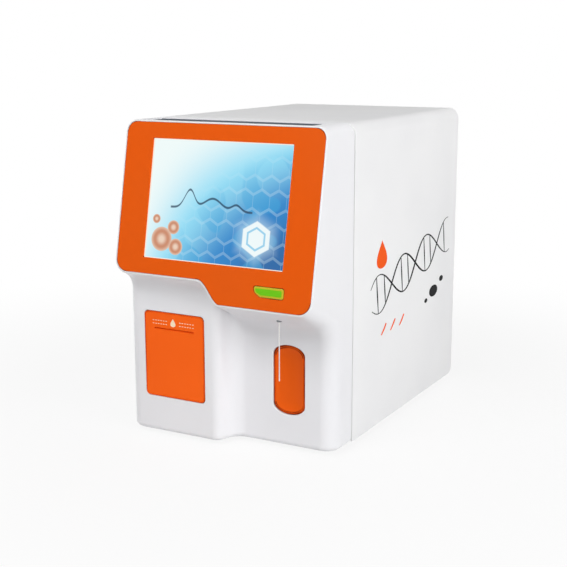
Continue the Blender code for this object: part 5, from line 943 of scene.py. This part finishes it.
# %% [markdown]
# ## The status lens
# A lamp behind a green window says whether the machine is ready. The window has a slight dome that
# catches the light: ever smaller copies of its outline on a rising curve.

# %% Cast the lens
LENS_DOME, LENS_SINK, LENS_BACK = 0.0007, 0.0002, 0.0052
LENS_REACH, LENS_BORDER = 0.0042, 0.0030


def lens_form(material):
    """Rings of the outline: inset s from 0 to 1 rises by dome sqrt(1 - (1 - s)^2)."""
    inset = 1 - np.cos(quarter_turn(12))
    outlines = [lens_outline(0.0)] + [lens_outline(-LENS_REACH * part) for part in inset]
    domed = [LENS_DOME * math.sqrt(1 - (1 - part) ** 2) - LENS_SINK for part in inset]
    piece = stack("domed_lens", outlines, [-LENS_BACK] + domed, PANEL, material)
    border = piece.data.attributes.new("border", "FLOAT", "POINT")
    rows = np.concatenate([[1.0], 1 - np.clip(LENS_REACH * inset / LENS_BORDER, 0, 1)])
    border.data.foreach_set("value", np.repeat(rows, len(outlines[0])).astype(np.float32))
    return piece


LENS = skinned(
    "lit_lens", srgb(104, 196, 22), srgb(96, 188, 20), srgb(150, 210, 60), 0.3, coat=0.1, shine=0.2
)
tree = LENS.node_tree
border = add_node(tree, "Attribute", attribute_name="border").outputs["Fac"]
glow = mix_of(tree, ramp_of(tree, border, 0.02, 0.40), (*srgb(96, 176, 4), 1.0), (*srgb(176, 166, 34), 1.0))
values = {"Emission Color": glow, "Base Color": glow, "Emission Strength": 0.25}
fill(tree, tree.nodes["Principled BSDF"], values)
settle(lens_form(LENS), ["status_lens"], sharp=50)

# %% [markdown]
# ## The start key
# The key is as large as a thumb, so that it can be pushed with the sample tube, and dished to guide it,
# with a fine groove round the dish. Rings of the outline sink by the formula of a lens: deepest in the
# middle and level outside.

# %% Press the key
KEY_RECESS, KEY_BACK, KEY_DISH, KEY_FLANGE, KEY_STEP = 0.0012, 0.0063, 0.0034, 0.0025, 0.002
KEY_ROUND, KEY_LIP, KEY_PLAY, KEY_REACH = 0.0008, 0.0034, 0.0004, 0.0190
KEY_GROOVE = ((0.0014, 0.0), (0.0017, 0.0010), (0.0024, 0.0010), (0.0030, 0.0))


def key_form(material):
    """Rings: flange, wall, rounded edge, a groove, then a dish: depth times 1 - (1 - s)^2.6, s inward."""
    angle, inward = quarter_turn(6), np.linspace(0, 1, 26)
    inset = [-KEY_FLANGE, -KEY_FLANGE, KEY_PLAY, *KEY_PLAY + KEY_ROUND * (1 - np.cos(angle))]
    inset += [drawn for drawn, deep in KEY_GROOVE] + list(KEY_LIP + KEY_REACH * inward)
    shoulder = KEY_STEP - KEY_BACK
    height = [-KEY_BACK, shoulder, shoulder, *-KEY_RECESS - KEY_ROUND * (1 - np.sin(angle))]
    height += [-KEY_RECESS - deep for drawn, deep in KEY_GROOVE]
    height += list(-KEY_RECESS - KEY_DISH * (1 - (1 - inward) ** 2.6))
    return stack("dished_key", [key_outline(-drawn) for drawn in inset], height, upright(BAY_Y), material)


settle(key_form(ORANGE), ["start_key"], "key", sharp=50)

# %% [markdown]
# ## The printer door
# The door is a thin plate that swings out on a pin near its lower edge. Two ears behind it carry the
# rubber roller, so a new roll can just be dropped in. The slot's floor rises inward, so from above the
# eye meets orange in the shade and not the dark inside.

# %% Make the door
DOOR_THICKNESS, GROOVE_DEPTH = 0.0032, 0.0006
SLOT_WIDTH, SLOT_Z = 0.0642, DOOR_Z + DOOR_HEIGHT - 0.0230
ROLLER_Y, ROLLER_Z = COLUMN_Y + 0.0105, SLOT_Z - 0.0065
EAR_X, EAR_HALF, BORE_HALF = 0.035, 0.0015, 0.06
SIDEWAYS = frame_matrix((0, 1, 0), (0, 0, 1), (1, 0, 0), (DOOR_X, COLUMN_Y, 0))


def rod(name, y, z, radius, half_length, steps=32):
    """A bar along x: a rectangle of radius and length, spun round its axis."""
    profile = [(0.0, -half_length), (radius, -half_length), (radius, half_length), (0.0, half_length)]
    return turned(name, profile, (DOOR_X, y, z), "X", steps)


door = prism("swing_door", door_outline(0.0), COLUMN, -DOOR_THICKNESS, 0.0, DOOR)
ear = round_box(0.0133, 0.0096, 0.0015, 4, 0.00825, ROLLER_Z)
ears = [
    prism("ear", ear, SIDEWAYS, side * EAR_X - EAR_HALF, side * EAR_X + EAR_HALF) for side in (-1, 1)
]
barrel = rod("barrel", HINGE_Y, HINGE_Z, BARREL, DOOR_WIDTH / 2 - 0.0003)
carve(door, *ears, barrel, operation="UNION")
slot = [(-THROUGH, -0.0011), (0.0003, -0.0011), (0.0030, 0.0002)]
slot += [(0.0300, 0.0002), (0.0300, 0.0011), (-THROUGH, 0.0011)]
groove = prism("groove", door_outline(-0.0007), COLUMN, -GROOVE_DEPTH, THROUGH)
carve(groove, prism("core", door_outline(-0.0015), COLUMN, -THROUGH, 2 * THROUGH))
carve(
    door,
    groove,
    prism("slot", np.array(slot) + (0, SLOT_Z), SIDEWAYS, -SLOT_WIDTH / 2, SLOT_WIDTH / 2),
    rod("pin_bore", HINGE_Y, HINGE_Z, 0.0015, BORE_HALF, 24),
    rod("roller_bore", ROLLER_Y, ROLLER_Z, 0.0023, BORE_HALF, 24),
)
settle(door, ["printer_door"], "door", edge=0.0003, sharp=40)

# %% [markdown]
# ## Marks on the door
# Over the slot are two rows of short pale dashes and a plain drop, printed: plates a tenth of a
# millimetre thick, which take the light like ink.

# %% Print the marks
MARK = skinned("pale_ink", srgb(255, 232, 198), srgb(250, 226, 190), srgb(255, 238, 210), 0.5)
MARK_LOW, MARK_HIGH = -0.0002, 0.0001
columns = np.concatenate([np.arange(6) * 0.0042 - 0.0333, np.arange(6) * 0.0042 + 0.0100])
dashes = [
    round_box(0.0024, 0.0010, 0.0004, 2, DOOR_X + x, SLOT_Z + z) for x in columns for z in (0.0066, 0.0112)
]
angle = full_turn(60)
DROP_SHAPE = np.c_[np.sin(angle) * np.sin(angle / 2) ** 1.5, np.cos(angle)]
sign = DROP_SHAPE * (0.0058, 0.0056) + (DOOR_X - 0.0013, SLOT_Z + 0.0100)
for name, outline in (("drop_sign", sign), ("dash_rows", dashes)):
    settle(prism(name, outline, COLUMN, MARK_LOW, MARK_HIGH, MARK), body="door")

# %% [markdown]
# ## The display's picture
# The start page is drawn with sums on the pane's UV, so it stays with the glass: a blend from pale cyan
# to blue, a lattice of hexagons, blood cells, a curve like a cell-size histogram and a bright hexagon.

# %% Draw the picture
SCREEN = skinned(
    "display_glass", (0.004, 0.004, 0.005), (0.006, 0.006, 0.007), (0.01, 0.01, 0.01), 0.16, shine=0.3
)
tree = SCREEN.node_tree


def vector_of(tree, operation, first, second=(0.0, 0.0, 0.0), output="Vector"):
    """One VectorMath node: the operation on one or two vectors."""
    return add_node(tree, "VectorMath", {0: first, 1: second}, operation=operation).outputs[output]


def hexagon_distance(tree, spot):
    """The larger of |x| and |x| / 2 + |y| sqrt(3) / 2, which is 0.5 on the sides of a unit hexagon."""
    size = vector_of(tree, "ABSOLUTE", spot)
    slanted = vector_of(tree, "DOT_PRODUCT", size, (0.5, math.sqrt(0.75), 0.0), "Value")
    return sum_of(tree, "MAXIMUM", add_node(tree, "SeparateXYZ", {0: size}).outputs[0], slanted)


def lattice_distance(tree, spot):
    """Two grids of points, one between the other: each place belongs to the nearer point's hexagon."""
    pitch, half = (1.0, math.sqrt(3), 1.0), (0.5, math.sqrt(0.75), 0.5)
    first = vector_of(tree, "SUBTRACT", vector_of(tree, "MODULO", spot, pitch), half)
    second = vector_of(tree, "MODULO", vector_of(tree, "ADD", spot, half), pitch)
    second = vector_of(tree, "SUBTRACT", second, half)
    sizes = [vector_of(tree, "DOT_PRODUCT", side, side, "Value") for side in (first, second)]
    nearer = sum_of(tree, "LESS_THAN", *sizes)
    gap = vector_of(tree, "SUBTRACT", first, second)
    moved = add_node(tree, "VectorMath", {0: gap, "Scale": nearer}, operation="SCALE").outputs[0]
    return hexagon_distance(tree, vector_of(tree, "ADD", second, moved))


def inked(page, mask, *tones):
    """The page under one colour, in tones from 0 to 255, as far as the mask says."""
    return mix_of(tree, mask, page, (*srgb(*tones), 1.0))


def apart(value, middle):
    """How far the value is from the middle, |value - middle|."""
    return sum_of(tree, "ABSOLUTE", sum_of(tree, "SUBTRACT", value, middle))


uv = add_node(tree, "TexCoord").outputs["UV"]
across, up, _ = add_node(tree, "SeparateXYZ", {0: uv}).outputs
spot = vector_of(tree, "MULTIPLY", uv, (4 / 3, 1.0, 0.0))
steep = sum_of(tree, "MULTIPLY_ADD", up, -0.74, 1.06)
low = sum_of(tree, "MULTIPLY_ADD", up, -0.20, 0.20)
depth = sum_of(tree, "MULTIPLY_ADD", across, steep, low)
BLENDS = ((0.05, 0.42, (150, 226, 250)), (0.30, 0.78, (40, 134, 204)), (0.72, 1.15, (36, 104, 168)))
page = (*srgb(243, 254, 253), 1.0)
for start, end, tones in BLENDS:
    page = inked(page, ramp_of(tree, depth, start, end), *tones)
patch = ramp_of(tree, noise_of(tree, spot, 3.4, 0.0), 0.50, 0.54, 0.0, 0.5)
page = inked(page, sum_of(tree, "MULTIPLY", patch, ramp_of(tree, depth, 0.3, 0.6)), 58, 168, 222)
edge = lattice_distance(tree, vector_of(tree, "MULTIPLY", spot, (6.5, 6.5, 0.0)))
net = ramp_of(tree, edge, 0.476, 0.492)
net = sum_of(tree, "MULTIPLY", net, ramp_of(tree, depth, 0.22, 0.50, 0.0, 0.22))
page = inked(page, net, 206, 240, 252)
print("page drawn")

# %% Add cells, a curve and a bright hexagon
CELLS = ((0.155, 0.165, 0.105), (0.300, 0.110, 0.070), (0.265, 0.270, 0.060), (0.090, 0.330, 0.040))
HUMPS = ((0.15, 0.30, 0.050), (0.09, 0.47, 0.085), (0.05, 0.64, 0.045))
FAR_OFF, CURVE_FOOT = 9.0, 0.44
nearest = FAR_OFF
for x, y, radius in CELLS:
    reach = vector_of(tree, "DISTANCE", spot, (x, y, 0.0), "Value")
    nearest = sum_of(tree, "MINIMUM", nearest, sum_of(tree, "DIVIDE", reach, radius))
cell = inked((*srgb(206, 140, 108), 1.0), ramp_of(tree, apart(nearest, 0.62), 0.0, 0.5), 240, 212, 190)
page = mix_of(tree, ramp_of(tree, nearest, 0.93, 1.0, 1.0, 0.0), page, cell)

curve = CURVE_FOOT
for height, middle, spread in HUMPS:
    off = sum_of(tree, "DIVIDE", sum_of(tree, "SUBTRACT", across, middle), spread)
    fallen = sum_of(tree, "EXPONENT", sum_of(tree, "MULTIPLY", sum_of(tree, "MULTIPLY", off, off), -1.0))
    curve = sum_of(tree, "MULTIPLY_ADD", fallen, height, curve)
line = ramp_of(tree, apart(up, curve), 0.006, 0.012, 0.85, 0.0)
line = sum_of(tree, "MULTIPLY", line, ramp_of(tree, apart(across, 0.46), 0.29, 0.30, 1.0, 0.0))
page = inked(page, line, 16, 52, 84)

badge = vector_of(tree, "SUBTRACT", spot, (1.06, 0.235, 0.0))
badge = hexagon_distance(tree, vector_of(tree, "MULTIPLY", badge, (3.6, 3.6, 0.0)))
page = inked(page, ramp_of(tree, badge, 0.30, 0.85, 0.45, 0.0), 214, 242, 252)
page = inked(page, ramp_of(tree, badge, 0.43, 0.47, 0.95, 0.0), 246, 255, 255)
page = inked(page, ramp_of(tree, apart(badge, 0.28), 0.02, 0.04, 0.8, 0.0), 120, 200, 236)
# A pale cream line along the screen's edges is a painted highlight.
painted_edge_highlights = [
    ramp_of(tree, apart(side, 0.5), 0.5 - 0.0012 / size, 0.5 - 0.0008 / size)
    for side, size in ((across, SCREEN_WIDTH), (up, SCREEN_HEIGHT))
]
page = inked(page, sum_of(tree, "MAXIMUM", *painted_edge_highlights), 255, 244, 230)
fill(tree, tree.nodes["Principled BSDF"], {"Emission Color": page, "Emission Strength": 0.94})
print("cells:", len(CELLS))

# %% [markdown]
# ## The display's pane
# The pane is a plate of glass behind the bezel. Its UV runs from 0 to 1 over the part that shows: u is x
# over the width, and v is the height up the slope over the window's height.

# %% Set the pane
PANE_FRONT, PANE_BACK = 0.0024, 0.0042


def slope_uv(piece):
    """Each corner's u and v from its place in the panel's own frame."""
    mesh = piece.data
    corner = read(mesh.loops, "vertex_index", 1, np.int32)
    flat = (read(mesh.vertices, "co", 3) - PANEL[:3, 3]) @ PANEL[:3, :2]
    uv = flat / (SCREEN_WIDTH, SCREEN_HEIGHT) + (0.5, 0.0)
    mesh.uv_layers.new(name="slope").data.foreach_set("uv", uv[corner].astype(np.float32).ravel())


pane = prism("display_pane", screen_outline(PANE_MARGIN), PANEL, -PANE_BACK, -PANE_FRONT, SCREEN)
slope_uv(pane)
settle(pane, ["touch_screen"])

# %% [markdown]
# ## Prints on the side
# The side carries a large print in charcoal and orange: two strands that twist about each other, with
# rungs between them, a drop and a few dots. Each stroke is a path whose width swells and thins as a
# brush's does, and a flat strip as thick as a film follows it.

# %% Draw the side print
SIDE = frame_matrix((0, 1, 0), (0, 0, 1), (1, 0, 0), (0, 0, 0))
INK = skinned("charcoal_ink", srgb(14, 14, 15), srgb(20, 20, 22), srgb(50, 50, 52), 0.6, shine=0.1)
ORANGE_INK = skinned(
    "orange_ink", (0.88, 0.10, 0.004), (0.84, 0.09, 0.003), (0.9, 0.2, 0.05), 0.6, shine=0.1
)


def smooth_path(spots, steps=16):
    """Catmull-Rom: between two spots the curve keeps the direction from the one before to the one after."""
    full = np.vstack([2 * spots[:1] - spots[1:2], spots, 2 * spots[-1:] - spots[-2:-1]])
    p0, p1, p2, p3 = full[:-3, None], full[1:-2, None], full[2:-1, None], full[3:, None]
    t = np.linspace(0, 1, steps, endpoint=False)[None, :, None]
    curve = p1 + t * (p2 - p0) / 2 + t ** 2 * (p0 - 2.5 * p1 + 2 * p2 - p3 / 2)
    curve = (curve + t ** 3 * (1.5 * (p1 - p2) + (p3 - p0) / 2)).reshape(-1, spots.shape[1])
    return np.vstack([curve, spots[-1:]])


def stroke_outline(spots):
    """Spots of (y, z, width) in millimetres, drawn with a nib that is three times as broad as it is high."""
    path = smooth_path(np.array(spots) / 1000)
    flat, width = path[:, :2], path[:, 2:] / 2
    side = left_normals(flat) * width * (1.0, 0.33)
    return np.vstack([flat + side, (flat - side)[::-1]])


def ellipse(centre, radii):
    """(a cos t + y, b sin t + z) for t round a circle, given in millimetres."""
    angle = full_turn(48)
    return (np.c_[np.cos(angle), np.sin(angle)] * radii + centre) / 1000


PHASE, STRAND_POINTS = 0.6, 25


def twist(phase, share):
    """A wave along a slanted line: height a sin(2 pi n s + phase) over the line at the share s."""
    wave = 27 * np.sin(3.4 * math.pi * share + phase)
    return -72 + 292 * share - 0.15 * wave, 190 + 52 * share + wave


share = np.linspace(0.0, 1.0, STRAND_POINTS)
swell = 2 + 4.2 * np.sin(math.pi * share) ** 0.5
strands = [np.c_[(*twist(phase, share), swell)] for phase in (PHASE, PHASE + math.pi)]
rungs = []
for part in (0.07, 0.155, 0.36, 0.44, 0.655, 0.735, 0.93):
    (y0, z0), (y1, z1) = twist(PHASE, part), twist(PHASE + math.pi, part)
    rungs.append([(y0, z0, 2.0), ((y0 + y1) / 2, (z0 + z1) / 2, 3.8), (y1, z1, 2.0)])
inks = [stroke_outline(spots) for spots in strands + rungs]
inks += [ellipse((160, 160), (17, 9)), ellipse((192, 174), (8, 4.5)), ellipse((130, 150), (6, 3.5))]
pads = [(DROP_SHAPE * (25, 20) + (-38, 250)) / 1000]
pads += [stroke_outline([(y, 134, 5), (y + 9, 141, 6.5), (y + 16, 148, 5)]) for y in (-36, -4, 28)]
PRINT_LOW, PRINT_HIGH = HALF_WIDTH - PRINT_HEIGHT - 0.00005, HALF_WIDTH
settle(prism("charcoal_print", inks, SIDE, PRINT_LOW, PRINT_HIGH, INK))
settle(prism("orange_print", pads, SIDE, PRINT_LOW, PRINT_HIGH, ORANGE_INK))

# %% [markdown]
# ## The painted shade on the hood
# The tray holds a thin dark grey strip of painted shade: it stands in for the shade behind the white rim.
# From eye height it is nearly edge on, so it draws a thin dark line behind the rim. A low ridge runs along
# its rear edge, and the tray's rear wall shows white behind it.

# %% Lay the painted shade strip
# A dark grey strip in the tray: painted shade behind the rim.
SHADE_PAINT = skinned("hood_painted_shade", srgb(112, 119, 128), srgb(104, 111, 121), srgb(130, 136, 144), 0.9, shine=0.0)
SHADE_STRIP_WIDTH, SHADE_STRIP_LENGTH = 2 * (HALF_WIDTH - TRAY_SIDE) - 0.012, 0.037
shade_strip_y = tray_y - TRAY_LENGTH / 2 + 0.0002 + SHADE_STRIP_LENGTH / 2
shade_strip = round_box(SHADE_STRIP_WIDTH, SHADE_STRIP_LENGTH, 0.0018, 5, y=shade_strip_y)
shade_strip = prism("hood_shade_strip", shade_strip, level(TOP_Z), -TRAY_DEPTH, 0.0003 - TRAY_DEPTH, SHADE_PAINT)
ridge = round_box(SHADE_STRIP_WIDTH, 0.0016, 0.0007, 5, y=shade_strip_y + SHADE_STRIP_LENGTH / 2 - 0.0012)
carve(shade_strip, prism("ridge", ridge, level(TOP_Z), 0.0001 - TRAY_DEPTH, -0.0006), operation="UNION")
settle(shade_strip, edge=0.0001)

# %% [markdown]
# ## Where the probe comes out
# The needle comes down through a round hole in the chin, where a grey collar wipes it as it rises: a
# closed profile of radius and height, spun round the needle's axis.

# %% Fit the collar
CHIN_Z, COLLAR_UP, COLLAR_DOWN = 0.1846, 0.0045, 0.0012
COLLAR_RADIUS, COLLAR_HALF_WALL = 0.0025, 0.0011
angle = full_turn(16)
rise = np.where(np.sin(angle) > 0, COLLAR_UP, COLLAR_DOWN) * np.sin(angle)
profile = np.c_[COLLAR_RADIUS + COLLAR_HALF_WALL * np.cos(angle), CHIN_Z + rise]
collar = turned("probe_collar", profile, (PROBE_X, PROBE_Y, 0), "Z", 48, GREY, ring_like=True)
settle(collar, sharp=60)

# %% [markdown]
# ## Screws on the rear
# Screws hold the rear panel along both sides, and four more hold the fan. One is made, a pan head with a
# cross recess, and its mesh is repeated at every spot.

# %% Drive the screws
REAR_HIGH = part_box("rear_panel")[1]
FACE_Y = REAR_HIGH.y
REARWARD = frame_matrix((-1, 0, 0), (0, 0, 1), (0, 1, 0), (0, FACE_Y, 0))
HEAD_RADIUS, HEAD_SINK, HEAD_BRIM, HEAD_DOME = 0.003, 0.0004, 0.0004, 0.0012
FAN_HOLES = 0.03575


def repeated(piece, spots, material):
    """One mesh with a copy of the piece's mesh at each spot."""
    points = np.asarray(spots)[:, None] + read(piece.data.vertices, "co", 3)
    count = len(points[0])
    faces = [[corner + start for corner in face.vertices]
             for start in range(0, count * len(spots), count) for face in piece.data.polygons]
    name = piece.name
    bpy.data.objects.remove(piece, do_unlink=True)
    return solid(name, points, faces, material)


bow = quarter_turn(7)
head = [(0.0, -HEAD_SINK), (HEAD_RADIUS, -HEAD_SINK)]
head += [*np.c_[HEAD_RADIUS * np.cos(bow) ** 0.6, HEAD_BRIM + HEAD_DOME * np.sin(bow)]]
screw = turned("rear_screws", head, (0, 0, 0), "Y", 28)
arms = [
    prism("arm", round_box(wide, high, 0.0002, 2), upright(0.0), -0.003, -0.0007)
    for wide, high in ((0.0032, 0.0007), (0.0007, 0.0032))
]
carve(screw, *arms)
fan_low, fan_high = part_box("fan_frame")
fan, side_x = (fan_low + fan_high) / 2, REAR_HIGH.x - 0.008
holes = (-FAN_HOLES, FAN_HOLES)
spots = [(side * side_x, FACE_Y, z) for side in (-1, 1) for z in (0.030, 0.150, 0.275, 0.400)]
spots += [(fan.x + x, FACE_Y, fan.z + z) for x in holes for z in holes]
settle(repeated(screw, spots, STEEL), edge=0.00015)

# %% [markdown]
# ## Plates and rings on the rear
# Each reagent connection has a ring in the colour of its hose and a bare plate under it. The rating
# plate's rows are plain dashes, since what a real one says isn't known.

# %% Add the rings and plates
RING_PROFILE = ((0.0098, -0.0002), (0.0122, -0.0002), (0.0122, 0.0006), (0.0098, 0.0006))
HOSES = {"diluent_port": srgb(40, 110, 190), "lyse_port": srgb(60, 150, 70),
         "cleaner_port": srgb(222, 160, 40), "waste_port": srgb(196, 50, 40)}
plates = []
for name, tone in HOSES.items():
    low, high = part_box(name)
    x, z = (low.x + high.x) / 2, (low.z + high.z) / 2
    dye = skinned(name + "_dye", tone, tone, tuple(0.5 + part / 2 for part in tone), 0.45)
    band = turned(name + "_ring", RING_PROFILE, (x, FACE_Y, z), "Y", 64, dye, ring_like=True)
    settle(band, edge=0.0002, sharp=40)
    plates.append(round_box(0.0220, 0.0080, 0.0012, 4, -x, z - 0.0200))
labels = prism("port_plates", plates, REARWARD, -0.0001, 0.0003, ALUMINIUM)
settle(labels, edge=0.0001)

PLATE_X, PLATE_Z = -0.083, 0.092
ROWS = ((0.030, -0.012, 0.010), (0.022, -0.016, 0.0055), (0.034, -0.010, 0.001),
        (0.018, -0.018, -0.0035), (0.026, -0.014, -0.008))
plate = round_box(0.066, 0.034, 0.002, 5, -PLATE_X, PLATE_Z)
settle(prism("rating_plate", plate, REARWARD, -0.0001, 0.0005, ALUMINIUM), edge=0.0001)
rows = [round_box(wide, 0.0012, 0.0004, 2, -PLATE_X + x, PLATE_Z + z) for wide, x, z in ROWS]
rows.append(round_box(0.014, 0.014, 0.001, 3, -PLATE_X + 0.020, PLATE_Z - 0.004))
settle(prism("rating_rows", rows, REARWARD, 0.0004, 0.0006, INK))
